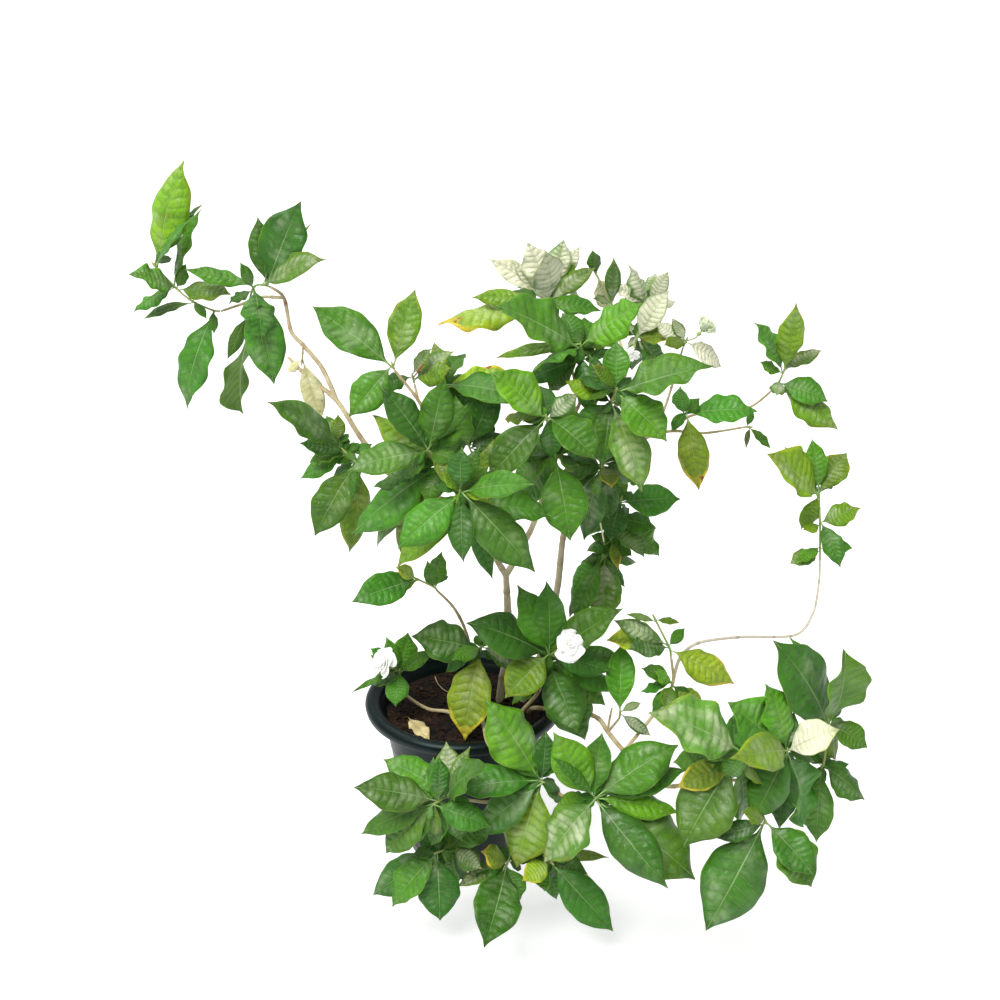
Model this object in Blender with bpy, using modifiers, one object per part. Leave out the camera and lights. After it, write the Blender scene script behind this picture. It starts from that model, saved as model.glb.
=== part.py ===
# Potted crape jasmine: a leafy shrub with double white flowers in a round nursery pot.
# Metres, +Z up, the viewer's side is -Y; the origin is the middle of the pot's foot, on the floor.
import math
import random

import bpy
import bmesh
from mathutils import Matrix, Quaternion, Vector
from mathutils.bvhtree import BVHTree

# Pot and soil
potHeight = 0.260
rimRadius = 0.150
lipDrop = 0.017          # height of the rolled lip
crestRadius = 0.1395     # the lip's highest line
mouthRadius = 0.1275
neckRadius = 0.122       # body just under the lip
footRadius = 0.088
potWall = 0.0026
potFloor = 0.004
drainRadius = 0.007
drainCount = 4
roundSides = 28
soilTop = 0.235
soilBump = 0.0018
holeDepth = 0.045        # how deep a stem stands in the soil
gap = 0.0003

# Plant
bladeThick = 0.0008
petioleWidth = 0.0011
twigRadius = 0.0015
collarLength = 0.008     # wood runs on up to this far toward the shoot it carries
nodeSpread = 0.0030      # leaves of one node leave the twig this far apart
clearance = 0.0006
seed = 11

# The viewer: places on the plant are read from there, as (across, down, near), the point on the
# sight line through that spot of a 1000-wide picture that lies "near" cm in front of the pot's axis.
eye = Vector((0.054, -1.84, 1.32))
eyePitch = math.radians(22)
eyeReach = 50 / 36 * 1000
pictureMiddle = 500

ahead = Vector((0, math.cos(eyePitch), -math.sin(eyePitch)))
above = Vector((0, math.sin(eyePitch), math.cos(eyePitch)))
rightward = Vector((1, 0, 0))

# Woody stems. "soil" is where the stem leaves the soil; each limb is (first radius, last radius in
# mm, places); a limb that starts on another one repeats that place.
stems = {
    "stem_tall": {
        "soil": (500, 700),
        "limbs": {
            "trunk": (4.3, 3.8, [(508, 640, -2.5), (506, 575, -2)]),
            "leftFork": (3.5, 2.8, [(506, 575, -2), (497, 560, -1), (488, 540, 1), (480, 515, 3)]),
            "longBranch": (2.8, 1.9, [(480, 515, 3), (400, 480, -7), (364, 442, -12), (337, 401, -16),
                                      (307, 376, -20), (288, 357, -22)]),
            "secondBranch": (2.2, 1.6, [(337, 401, -16), (322, 368, -19), (303, 345, -21),
                                        (291, 331, -22.5), (284, 298, -24), (276, 289, -25)]),
            "farBranch": (1.8, 1.4, [(284, 298, -24), (262, 297, -27.5), (245, 303, -28.5),
                                     (226, 312, -28)]),
            "witheredSpur": (1.3, 1.1, [(303, 345, -21), (303, 352, -19)]),
            "leftMidSpur": (1.9, 1.5, [(400, 480, -7), (378, 467, -5.5)]),
            "upperLeft": (2.6, 1.6, [(480, 515, 3), (463, 474, 2), (442, 440, 0), (418, 400, -1),
                                     (396, 374, -2)]),
            "upperLeftSpur": (1.7, 1.4, [(418, 400, -1), (416, 390, -4.5)]),
            "upperMidSpur": (1.9, 1.4, [(442, 440, 0), (446, 412, -5), (444, 400, -7)]),
            "leftRosette": (2.0, 1.6, [(463, 474, 2), (447, 470, 4)]),
            "centreBack": (2.0, 1.5, [(480, 515, 3), (484, 490, -1), (476, 464, -3)]),
            "frontRosette": (2.2, 1.8, [(480, 515, 3), (477, 513, 8)]),
            "rightFork": (3.4, 2.5, [(506, 575, -2), (514, 562, -2), (523, 545, 0), (533, 525, 2),
                                     (545, 492, 3), (552, 475, 3)]),
            "centre": (2.1, 1.8, [(552, 475, 3), (556, 468, 4.5)]),
            "upper": (2.2, 1.7, [(552, 475, 3), (563, 435, -2), (580, 402, -5), (584, 372, -6)]),
            "topBack": (1.9, 1.4, [(580, 402, -5), (572, 370, -10), (561, 335, -14), (552, 314, -17)]),
            "topLeft": (1.5, 1.3, [(561, 335, -14), (549, 315, -12.5)]),
        },
    },
    "stem_right": {
        "soil": (524, 700),
        "limbs": {
            "trunk": (3.7, 3.2, [(546, 640, -4), (557, 590, -5), (562, 545, -6), (566, 520, -6)]),
            "crown": (3.0, 2.0, [(566, 520, -6), (578, 480, -5), (596, 445, -3), (608, 414, 0)]),
            "under": (1.7, 1.4, [(596, 445, -3), (601, 456, -0.5)]),
            "topRight": (2.2, 1.5, [(596, 445, -3), (618, 400, -11), (628, 365, -16), (634, 349, -18.5)]),
            "topBackRight": (1.6, 1.3, [(628, 365, -16), (618, 335, -20), (614, 318, -21.5)]),
            "right": (2.4, 1.4, [(578, 480, -5), (612, 458, -10), (648, 437, -12), (672, 431, -13),
                                 (705, 433, -15), (741, 427, -17)]),
            "rightWhorl": (1.6, 1.3, [(672, 431, -13), (680, 421, -12)]),
            "farRight": (1.7, 1.3, [(672, 431, -13), (688, 417, -16), (715, 411, -17.5),
                                    (750, 407, -18.5), (773, 391, -19.5)]),
            "bud": (1.7, 1.3, [(648, 437, -12), (664, 410, -13), (681, 352, -15)]),
            "side": (2.0, 1.5, [(546, 640, -4), (580, 612, -8), (606, 592, -10), (618, 573, -10),
                                (615, 554, -8)]),
            "sideSpur": (1.4, 1.3, [(618, 573, -10), (610, 565, -7)]),
        },
    },
    "stem_low_left": {
        "soil": (478, 690),
        "limbs": {
            "main": (2.3, 1.5, [(475, 670, -1), (466, 632, 0), (454, 608, 1.5), (440, 594, 2.5)]),
            "potLeft": (1.7, 1.4, [(475, 670, -1), (479, 661, 1.5)]),
        },
    },
    "stem_front": {
        "soil": (521, 717),
        "limbs": {"main": (2.6, 1.9, [(537, 694, 2), (546, 672, 5)])},
    },
    "stem_small": {
        "soil": (452, 717),
        "limbs": {"main": (2.4, 1.7, [(428, 709, 1), (406, 695, -0.5), (401, 683, 0)])},
    },
    "stem_over_front": {
        "soil": (481, 716),
        "limbs": {
            "main": (2.7, 2.2, [(485, 731, 10.6), (489, 744, 15.8), (507, 766, 18), (525, 772, 21)]),
            "centreA": (1.8, 1.6, [(525, 772, 21), (533, 777, 22.8)]),
            "centreB": (2.0, 1.7, [(525, 772, 21), (548, 786, 21.5), (570, 800, 25), (585, 800, 28)]),
            "lowLeft": (2.0, 1.6, [(507, 766, 18), (506, 790, 20), (492, 802, 22), (466, 800, 24)]),
            "lowLeftB": (1.7, 1.4, [(492, 802, 22), (489, 830, 21.5), (462, 846, 22.5)]),
            "lowCentre": (1.8, 1.4, [(506, 790, 20), (521, 825, 20.5), (530, 844, 21.5)]),
            "lowLeftC": (1.5, 1.3, [(521, 825, 20.5), (513, 850, 22.5)]),
        },
    },
    "stem_over_right": {
        "soil": (530, 713),
        "limbs": {
            "main": (2.9, 2.2, [(548, 709, 5.5), (560, 706, 7), (596, 717, 9), (608, 732, 12),
                                (624, 751, 16), (657, 782, 22), (677, 786, 25), (705, 776, 29)]),
            "stub": (1.4, 1.0, [(608, 732, 12), (609, 722, 12.2), (612, 708, 12.8)]),
            "leafTwig": (1.4, 1.2, [(608, 732, 12), (619, 722, 13.5)]),
            "sideTwig": (2.0, 1.5, [(624, 751, 16), (648, 722, 13), (664, 700, 11.5),
                                    (673, 682, 10.5), (672, 661, 10)]),
            "sideLow": (1.4, 1.2, [(664, 700, 11.5), (670, 693, 13.5)]),
            "longThin": (1.7, 1.2, [(673, 682, 10.5), (680, 658, 8), (698, 643, 7), (740, 637, 3),
                                    (795, 635, -3), (813, 613, -6), (819, 582, -8), (820, 566, -9)]),
            "lowRightA": (1.9, 1.6, [(705, 776, 29), (726, 764, 33)]),
            "lowRightC": (1.9, 1.5, [(705, 776, 29), (740, 780, 27.5), (768, 768, 28), (777, 760, 30)]),
            "lowRightB": (1.7, 1.4, [(740, 780, 27.5), (755, 800, 32), (760, 810, 35.5)]),
            "farLow": (1.6, 1.3, [(768, 768, 28), (804, 778, 26.5)]),
        },
    },
}

# Leafy shoots. Each grows on a limb's end; its nodes are (place, leaves), and a leaf is (tip across,
# tip down, width as seen, cm the tip lies nearer than its node, kind). Kinds: d dark, m mid green,
# b bright, l lime, y yellowing, p pale, c cream.
shoots = {
    "far_left": ("stem_tall", "farBranch", [
        ((212, 310, -28), [(184, 410, 32, 3, "d"), (214, 334, 9, 2, "m")]),
        ((192, 301, -28.3), [(143, 319, 9, 0, "m"), (207, 319, 9, 1, "m")]),
        ((176, 288, -28.6), [(231, 294, 20, 4, "l"), (129, 273, 22, 1, "m"), (133, 311, 12, 3, "d")]),
        ((155, 266, -29), [(183, 159, 36, -2, "l"), (194, 216, 12, 1, "d"), (202, 203, 14, -3, "m"),
                           (172, 258, 11, 2, "d")])]),
    "left_whorl": ("stem_tall", "secondBranch", [
        ((264, 285, -25), [(301, 201, 44, 1, "d"), (294, 217, 20, -5, "m"), (324, 258, 20, 3, "p"),
                           (302, 250, 16, -6, "m"), (311, 222, 10, -8, "p")]),
        ((253, 288, -24.5), [(184, 269, 16, 0, "d"), (262, 342, 42, 5, "d"), (274, 386, 38, 1.5, "d")]),
        ((247, 318, -24), [(227, 360, 14, 1, "m")]),
        ((247, 340, -23.5), [(242, 414, 38, 1, "m")])]),
    "withered_leaf": ("stem_tall", "witheredSpur", [
        ((302, 361, -18), [(322, 422, 22, 1, "c"), (287, 372, 9, 0, "c")])]),
    "left_mid": ("stem_tall", "leftMidSpur", [
        ((356, 462, -6), [(350, 554, 30, 0, "l"), (314, 537, 36, 3, "m"), (353, 500, 9, 4, "m")]),
        ((345, 452, -7), [(300, 479, 18, 0, "d"), (299, 443, 16, 2, "d")]),
        ((337, 442, -8), [(268, 401, 30, 1, "m"), (338, 414, 14, 0, "l")])]),
    "upper_left": ("stem_tall", "upperLeft", [
        ((393, 366, -2), [(312, 306, 38, 2, "m"), (415, 288, 32, -2, "l"), (349, 417, 35, 4, "m")])]),
    "upper_left_low": ("stem_tall", "upperLeftSpur", [
        ((413, 378, -5), [(454, 350, 20, -2, "p"), (452, 368, 22, 2, "l"), (377, 387, 16, 1, "d")])]),
    "upper_mid": ("stem_tall", "upperMidSpur", [
        ((442, 386, -8), [(517, 373, 22, 0, "y"), (466, 352, 18, -4, "d"), (536, 402, 28, -1, "d"),
                          (492, 424, 26, -2, "d")])]),
    "left_rosette": ("stem_tall", "leftRosette", [
        ((438, 466, 5.5), [(426, 504, 24, 4, "m"), (350, 535, 38, 2, "d"), (373, 548, 22, -3, "m"),
                           (372, 414, 28, -5, "l")]),
        ((429, 451, 8), [(346, 471, 32, 2, "m"), (380, 386, 30, 0, "d"), (445, 377, 34, 2, "b"),
                         (470, 402, 18, -3, "m"), (457, 462, 18, 3, "d")])]),
    "centre_back": ("stem_tall", "centreBack", [
        ((469, 446, -4), [(452, 382, 30, -2, "m"), (496, 382, 30, 0, "d"), (514, 446, 26, 1, "d"),
                          (414, 432, 26, -2, "d")])]),
    "front_rosette": ("stem_tall", "frontRosette", [
        ((469, 505, 11), [(394, 568, 26, 1, "l"), (493, 580, 20, 2, "d"), (553, 516, 30, -1, "d"),
                          (494, 438, 14, -3, "l")]),
        ((461, 492, 14), [(397, 549, 38, 3, "d"), (463, 563, 26, 4, "d"), (536, 573, 42, 4, "m"),
                          (462, 447, 30, 0, "d"), (499, 493, 14, 3, "l"), (535, 484, 24, 1, "m")])]),
    "centre": ("stem_tall", "centre", [
        ((555, 455, 6), [(570, 542, 44, 4, "m"), (511, 480, 22, -1, "d")]),
        ((547, 419, 8), [(491, 371, 40, 2, "b"), (578, 393, 28, -1, "p"), (487, 481, 34, 3, "m"),
                         (597, 460, 34, 4, "b"), (540, 385, 20, -5, "d")])]),
    "upper": ("stem_tall", "upper", [
        ((582, 356, -6), [(522, 382, 20, 0, "d"), (584, 316, 24, -3, "b"), (592, 418, 24, -1, "d")]),
        ((581, 347, -6), [(494, 304, 45, 4, "d"), (520, 377, 36, 4, "d"), (643, 302, 36, 3, "b"),
                          (494, 358, 12, -2, "l")])]),
    "top_left": ("stem_tall", "topLeft", [
        ((541, 305, -12.5), [(436, 325, 26, 2, "y"), (488, 305, 16, -2, "d"), (602, 311, 18, -1, "m"),
                             (512, 290, 16, -3, "m")])]),
    "top_back": ("stem_tall", "topBack", [
        ((548, 300, -19), [(512, 261, 12, -1, "c"), (527, 241, 28, -3, "p"), (546, 251, 30, 0, "c"),
                           (489, 259, 20, -2, "c"), (596, 267, 18, -2, "p")]),
        ((556, 285, -21), [(564, 239, 24, -1, "p"), (576, 262, 12, 1, "l"), (580, 246, 16, -4, "p")])]),
    "crown": ("stem_right", "crown", [
        ((611, 402, 2.5), [(601, 468, 30, 4, "m"), (643, 493, 36, 3, "p"), (589, 354, 16, -3, "d"),
                           (571, 446, 28, -2, "d")]),
        ((616, 391, 4), [(714, 366, 38, 2, "m"), (668, 441, 50, 4, "b"), (617, 340, 26, -2, "m"),
                         (592, 364, 12, 0, "l")])]),
    "right_under": ("stem_right", "under", [
        ((603, 467, 0.5), [(584, 541, 26, -1, "d"), (612, 488, 20, 2, "y"), (635, 481, 20, 0, "d"),
                           (552, 492, 24, -2, "d"), (574, 420, 22, -2, "d"),
                           (643, 484, 18, -3, "m"), (609, 520, 22, -3, "d")])]),
    "top_right": ("stem_right", "topRight", [
        ((637, 337, -20), [(669, 290, 26, -1, "p"), (675, 337, 24, 2, "y"), (632, 371, 24, 3, "d"),
                           (664, 376, 22, -1, "m")]),
        ((648, 305, -22), [(629, 264, 24, 0, "p"), (655, 273, 15, -1, "p"), (669, 271, 17, -2, "p"),
                           (612, 286, 18, 2, "p")])]),
    "top_back_right": ("stem_right", "topBackRight", [
        ((611, 302, -22), [(614, 257, 16, 0, "p"), (593, 298, 14, 1, "p")]),
        ((596, 274, -23.5), [(609, 309, 22, 3, "c"), (592, 250, 14, -1, "m")])]),
    "right_whorl": ("stem_right", "rightWhorl", [
        ((686, 413, -11.5), [(680, 386, 18, 0, "d"), (758, 411, 27, 1, "d"), (699, 491, 30, 3, "y"),
                             (671, 432, 11, 1, "d")])]),
    "right_twigs": ("stem_right", "right", [
        ((749, 427, -17.3), [(753, 410, 7, 0, "d"), (771, 449, 8, 1, "m"), (746, 449, 5, 2, "p")])]),
    "far_right": ("stem_right", "farRight", [
        ((779, 382, -19.7), [(838, 430, 26, 3, "l"), (829, 401, 26, 2, "d"), (777, 395, 20, 4, "p")]),
        ((784, 371, -20), [(755, 322, 24, -1, "m"), (797, 303, 26, 1, "l"), (822, 350, 15, -1, "p"),
                           (786, 341, 6, -3, "p")])]),
    "bud_spray": ("stem_right", "bud", [
        ((686, 341, -15.5), [(655, 322, 14, -2, "p"), (723, 368, 18, -1, "p"), (664, 345, 14, 1, "l")])]),
    "right_mid": ("stem_right", "side", [
        ((611, 541, -7), [(586, 551, 16, 1, "p"), (632, 556, 24, 1, "m"), (618, 570, 10, 2, "y")]),
        ((616, 520, -6), [(661, 556, 36, 0, "m"), (645, 557, 28, 3, "m")]),
        ((621, 500, -5.5), [(681, 499, 32, 1, "d"), (610, 541, 24, 3, "d"), (597, 480, 24, -2, "d")])]),
    "right_low_mid": ("stem_right", "sideSpur", [
        ((604, 556, -5), [(604, 622, 36, 3, "p"), (571, 595, 26, 0, "d"), (574, 622, 20, -1, "d"),
                          (625, 588, 9, 0, "d")])]),
    "low_left_twig": ("stem_low_left", "main", [
        ((434, 587, 3), [(442, 551, 18, 1, "m"), (427, 560, 14, 3, "d"), (447, 573, 10, 1, "d")]),
        ((417, 579, 3.8), [(383, 587, 26, 1, "y"), (351, 602, 32, -1, "d")])]),
    "pot_top": ("stem_front", "main", [
        ((548, 662, 7), [(586, 741, 44, 4, "b"), (578, 735, 40, -1, "d"), (622, 692, 22, 3, "d"),
                         (512, 705, 26, 1, "m")]),
        ((549, 655, 8.5), [(466, 622, 40, 1, "m"), (518, 584, 34, -1, "m"), (547, 581, 34, -4, "d"),
                           (504, 698, 42, 5, "l"), (557, 628, 14, -1, "l"), (623, 608, 34, 1, "m"),
                           (613, 672, 24, 1, "d")])]),
    "pot_left": ("stem_low_left", "potLeft", [
        ((481, 648, 4), [(411, 636, 42, 1, "p"), (464, 742, 42, 4, "y"), (452, 660, 16, 0, "m"),
                         (521, 664, 22, -2, "p")])]),
    "pot_spray": ("stem_small", "main", [
        ((400, 672, 0.5), [(408, 632, 26, -2, "m"), (435, 650, 14, 2, "b"), (395, 707, 32, 5, "p"),
                           (350, 693, 6, 1, "m"), (370, 655, 12, -1, "d")])]),
    "side_twig": ("stem_over_right", "sideTwig", [
        ((669, 647, 10), [(735, 684, 30, 2, "y"), (628, 648, 24, 2, "d"), (685, 628, 12, 0, "b"),
                          (606, 639, 34, 0, "y")]),
        ((655, 619, 9), [(625, 614, 7, 1, "l"), (680, 623, 7, 1, "l")])]),
    "side_low": ("stem_over_right", "sideLow", [
        ((672, 684, 15), [(704, 715, 24, 1, "y"), (664, 709, 16, 3, "l"), (655, 671, 17, 1, "b"),
                          (640, 692, 11, 1, "d")])]),
    "side_leaf": ("stem_over_right", "leafTwig", [
        ((620, 713, 14), [(622, 642, 28, 1, "m"), (651, 736, 12, 1, "p"), (641, 703, 8, -2, "p")])]),
    "right_edge": ("stem_over_right", "longThin", [
        ((820, 548, -9.5), [(790, 564, 22, 2, "p"), (853, 548, 22, 1, "m"), (797, 563, 12, 4, "b")]),
        ((820, 522, -10), [(803, 530, 16, 2, "l"), (861, 508, 26, 1, "l"), (841, 568, 20, 3, "m")]),
        ((819, 495, -10.3), [(767, 454, 34, 1, "l"), (785, 446, 30, -2, "b"), (847, 452, 28, 0, "l"),
                             (812, 438, 20, -4, "m")])]),
    "low_centre_a": ("stem_over_front", "centreA", [
        ((541, 781, 24), [(486, 699, 48, -2, "m"), (449, 791, 32, 1, "d"), (516, 869, 50, 3, "p"),
                           (474, 836, 34, 1, "d")])]),
    "low_centre_b": ("stem_over_front", "centreB", [
        ((595, 798, 30), [(553, 732, 40, -2, "b"), (602, 732, 28, -4, "d"), (679, 744, 44, 0, "m"),
                          (544, 863, 48, 2, "p"), (698, 880, 64, 5, "b"), (668, 889, 44, 2, "d"),
                          (551, 756, 14, -5, "d")])]),
    "low_centre_c": ("stem_over_front", "lowCentre", [
        ((541, 853, 23.5), [(545, 892, 22, 3, "b"), (603, 898, 18, 0, "y"), (610, 857, 12, -1, "l"),
                            (588, 874, 24, 1, "d")]),
        ((551, 862, 25.5), [(614, 932, 38, 2, "d"), (522, 881, 26, 3, "y")])]),
    "low_left_a": ("stem_over_front", "lowLeft", [
        ((449, 796, 25), [(382, 758, 32, -1, "m"), (446, 741, 26, -2, "p"), (470, 746, 16, -3, "p"),
                          (489, 764, 26, -1, "b")]),
        ((436, 803, 26.5), [(353, 787, 36, 1, "m"), (359, 834, 26, -1, "d"), (385, 854, 32, 4, "m"),
                            (492, 827, 28, 3, "d"), (439, 756, 20, 0, "d")])]),
    "low_left_b": ("stem_over_front", "lowLeftB", [
        ((449, 848, 23.2), [(482, 869, 28, 3, "p"), (426, 833, 20, -2, "d"), (496, 812, 30, -3, "d")]),
        ((438, 852, 24.5), [(371, 896, 34, 0, "d"), (391, 907, 32, 3, "d"), (440, 922, 42, 4, "d")])]),
    "low_left_c": ("stem_over_front", "lowLeftC", [
        ((507, 864, 24), [(456, 887, 15, 0, "p"), (482, 851, 22, 3, "y"), (484, 948, 46, 4, "d"),
                          (494, 894, 6, 5, "l"), (530, 806, 34, -2, "d")])]),
    "low_right_a": ("stem_over_right", "lowRightA", [
        ((737, 761, 36), [(683, 848, 66, 4, "m"), (676, 788, 28, -2, "y"), (702, 756, 18, -4, "d"),
                          (741, 822, 26, -3, "d")]),
        ((743, 751, 38), [(649, 711, 54, 1, "p"), (757, 722, 18, -2, "m")])]),
    "low_right_b": ("stem_over_right", "lowRightB", [
        ((766, 822, 39), [(705, 932, 60, 3, "m"), (813, 888, 40, 3, "b"), (814, 876, 34, -1, "d"),
                          (713, 838, 20, 0, "d"), (742, 812, 16, 2, "l")])]),
    "low_right_c": ("stem_over_right", "lowRightC", [
        ((787, 751, 32), [(728, 702, 52, 1, "m"), (767, 683, 40, -2, "b"), (731, 758, 38, 3, "l"),
                          (751, 823, 40, 1, "d"), (840, 729, 38, 2, "c"), (806, 826, 40, -2, "d"),
                          (779, 830, 30, -5, "d")])]),
    "right_low": ("stem_over_right", "farLow", [
        ((823, 766, 26.5), [(800, 811, 32, 4, "m"), (816, 843, 30, 2, "d"), (866, 800, 36, 2, "m")]),
        ((828, 724, 25.5), [(774, 640, 50, 0, "d"), (846, 650, 34, -3, "m"), (868, 748, 38, 2, "m"),
                            (791, 636, 26, -4, "m")])]),
}
backLeaves = 1           # leaves of each larger shoot that face away from the viewer
backLength = (0.070, 0.105)

# Flowers: (shoot, node, stalk's end, middle of the bloom, radius, kind)
blooms = {
    "bloom_front": ("pot_top", 1, (560, 651, 12), (570, 646, 15), 0.0235, "open"),
    "bloom_side": ("pot_spray", 0, (394, 668, 1.2), (385, 663, 2), 0.0230, "open"),
    "bloom_small": ("top_right", 0, (634, 346, -17), (632, 353, -15.5), 0.0115, "small"),
    "bud_opening": ("bud_spray", 0, (697, 336, -15.5), (705, 327, -15.5), 0.0150, "bud"),
    "bud_slender": ("right_mid", 0, (604, 542, -5), (598, 511, -4.5), 0.0040, "slender"),
}


def seen(across, down, near):
    ray = ahead + rightward * (across - pictureMiddle) / eyeReach + above * (pictureMiddle - down) / eyeReach
    return eye + ray * ((-near / 100 - eye.y) / ray.y)


def seenAtHeight(across, down, height):
    ray = ahead + rightward * (across - pictureMiddle) / eyeReach + above * (pictureMiddle - down) / eyeReach
    return eye + ray * ((height - eye.z) / ray.z)


def pixelSize(point):
    return (point - eye).dot(ahead) / eyeReach


def clearScene():
    for old in list(bpy.data.objects):
        bpy.data.objects.remove(old, do_unlink=True)
    for old in list(bpy.data.meshes):
        bpy.data.meshes.remove(old)
    for old in list(bpy.data.collections):
        bpy.data.collections.remove(old)


def newCollection(name):
    made = bpy.data.collections.new(name)
    bpy.context.scene.collection.children.link(made)
    return made


clearScene()
parts = newCollection("potted_crape_jasmine")
guides = newCollection("guides")
guides.hide_render = True


def makeMaterial(name, colour, roughness):
    made = bpy.data.materials.new(name)
    made.use_nodes = True
    shader = made.node_tree.nodes["Principled BSDF"]
    shader.inputs["Base Color"].default_value = (*colour, 1)
    shader.inputs["Roughness"].default_value = roughness
    shader.inputs["Metallic"].default_value = 0
    made.diffuse_color = (*colour, 1)
    return made


materials = {
    "pot": makeMaterial("pot_plastic", (0.018, 0.030, 0.034), 0.42),
    "soil": makeMaterial("soil_peat", (0.020, 0.012, 0.008), 0.95),
    "bark": makeMaterial("stem_bark", (0.36, 0.27, 0.19), 0.75),
    "leaf": makeMaterial("leaf_green", (0.055, 0.16, 0.028), 0.40),
    "withered": makeMaterial("leaf_withered", (0.62, 0.60, 0.38), 0.80),
    "dry": makeMaterial("leaf_dry", (0.48, 0.36, 0.18), 0.85),
    "petal": makeMaterial("petal_white", (0.86, 0.86, 0.80), 0.55),
    "bud": makeMaterial("bud_cream", (0.70, 0.74, 0.50), 0.55),
}


def newObject(name, mesh, collection, material=None):
    made = bpy.data.objects.new(name, mesh)
    collection.objects.link(made)
    if material:
        mesh.materials.clear()
        mesh.materials.append(materials[material])
    return made


def evaluatedMesh(obj):
    bpy.context.view_layer.update()
    shown = obj.evaluated_get(bpy.context.evaluated_depsgraph_get())
    return bpy.data.meshes.new_from_object(shown)


def applyModifiers(obj):
    baked = evaluatedMesh(obj)
    obj.modifiers.clear()
    old = obj.data
    obj.data = baked
    bpy.data.meshes.remove(old)


def islandsOf(bm):
    left = set(bm.faces)
    found = []
    while left:
        stack = [left.pop()]
        island = set(stack)
        while stack:
            for edge in stack.pop().edges:
                for other in edge.link_faces:
                    if other in left:
                        left.discard(other)
                        island.add(other)
                        stack.append(other)
        found.append(island)
    return found


def islandVolume(island):
    total = 0
    for face in island:
        first = face.verts[0].co
        for a, b in zip(face.verts[1:-1], face.verts[2:]):
            total += first.dot(a.co.cross(b.co)) / 6
    return total


# Keep the outer skin: sealed hollows are filled, loose scraps dropped, flat faces made whole.
def keepOneBody(mesh, flatness=0.01):
    closed = False
    for merge, flat, way in ((0.000002, flatness, "BEAUTY"), (0.000002, flatness, "EAR_CLIP"),
                             (0, flatness, "BEAUTY"), (0.000002, 0.03, "BEAUTY"), (0, 0, "BEAUTY"),
                             (0, 0, "EAR_CLIP")):
        bm = bmesh.new()
        bm.from_mesh(mesh)
        if merge:
            bmesh.ops.remove_doubles(bm, verts=bm.verts, dist=merge)
        biggest = max(islandsOf(bm), key=islandVolume)
        bmesh.ops.delete(bm, geom=[face for face in bm.faces if face not in biggest], context="FACES")
        if flat:
            bmesh.ops.dissolve_limit(bm, angle_limit=flat, verts=bm.verts, edges=bm.edges)
        bmesh.ops.triangulate(bm, faces=bm.faces, ngon_method=way)
        closed = all(len(edge.link_faces) == 2 for edge in bm.edges)
        if closed:
            bm.to_mesh(mesh)
        bm.free()
        if closed:
            break
    return closed


# Join a node's repeats into one body.
def fuse(name, base, pieces, material):
    group = bpy.data.collections.new(name + "_pieces")
    guides.children.link(group)
    for piece in pieces:
        guides.objects.unlink(piece)
        group.objects.link(piece)
    start = base.data.copy()
    closed = False
    for solver in ("EXACT", "MANIFOLD"):
        union = base.modifiers.new("union", "BOOLEAN")
        union.operation = "UNION"
        union.operand_type = "COLLECTION"
        union.collection = group
        union.solver = solver
        applyModifiers(base)
        closed = keepOneBody(base.data, 0.10 if material == "bark" else 0.01)
        if closed:
            break
        base.data = start.copy()
    if not closed:
        print("not closed:", name)
    for piece in pieces:
        bpy.data.objects.remove(piece, do_unlink=True)
    bpy.data.collections.remove(group)
    guides.objects.unlink(base)
    parts.objects.link(base)
    base.name = name
    base.data.name = name
    base.data.materials.clear()
    base.data.materials.append(materials[material])
    return base


# A round stem through the points, thinning from one radius to the other.
def tube(points, firstRadius, lastRadius, sides=6):
    curve = bpy.data.curves.new("stem", "CURVE")
    curve.dimensions = "3D"
    curve.bevel_depth = 1
    curve.bevel_resolution = 0 if sides == 4 else 1
    curve.use_fill_caps = True
    line = curve.splines.new("POLY")
    line.points.add(len(points) - 1)
    for i, point in enumerate(points):
        share = i / (len(points) - 1)
        line.points[i].co = (*point, 1)
        line.points[i].radius = firstRadius + (lastRadius - firstRadius) * share
    holder = bpy.data.objects.new("stem", curve)
    guides.objects.link(holder)
    mesh = evaluatedMesh(holder)
    bpy.data.objects.remove(holder, do_unlink=True)
    bpy.data.curves.remove(curve)
    bm = bmesh.new()
    bm.from_mesh(mesh)
    bmesh.ops.remove_doubles(bm, verts=bm.verts, dist=0.00001)
    bmesh.ops.recalc_face_normals(bm, faces=bm.faces)
    bm.to_mesh(mesh)
    bm.free()
    return newObject("stem", mesh, guides)


# A round body from its (radius, height) profile, which runs down the outside first.
def revolved(name, profile, material):
    mesh = bpy.data.meshes.new(name)
    mesh.from_pydata([(radius, 0, height) for radius, height in profile],
                     [(i, i + 1) for i in range(len(profile) - 1)], [])
    made = newObject(name, mesh, guides, material)
    screw = made.modifiers.new("turn", "SCREW")
    screw.angle = math.tau
    screw.steps = screw.render_steps = roundSides
    screw.use_merge_vertices = True
    screw.merge_threshold = 0.0001
    applyModifiers(made)
    bm = bmesh.new()
    bm.from_mesh(made.data)
    bmesh.ops.remove_doubles(bm, verts=bm.verts, dist=0.00005)
    bmesh.ops.recalc_face_normals(bm, faces=bm.faces)
    bm.to_mesh(made.data)
    bm.free()
    return made


def cut(body, cutters):
    group = bpy.data.collections.new("cutters")
    guides.children.link(group)
    for cutter in cutters:
        cutter.display_type = "WIRE"
        guides.objects.unlink(cutter)
        group.objects.link(cutter)
    difference = body.modifiers.new("cut", "BOOLEAN")
    difference.operation = "DIFFERENCE"
    difference.operand_type = "COLLECTION"
    difference.collection = group
    difference.solver = "EXACT"
    applyModifiers(body)
    for cutter in cutters:
        bpy.data.objects.remove(cutter, do_unlink=True)
    bpy.data.collections.remove(group)
    keepOneBody(body.data)


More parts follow.
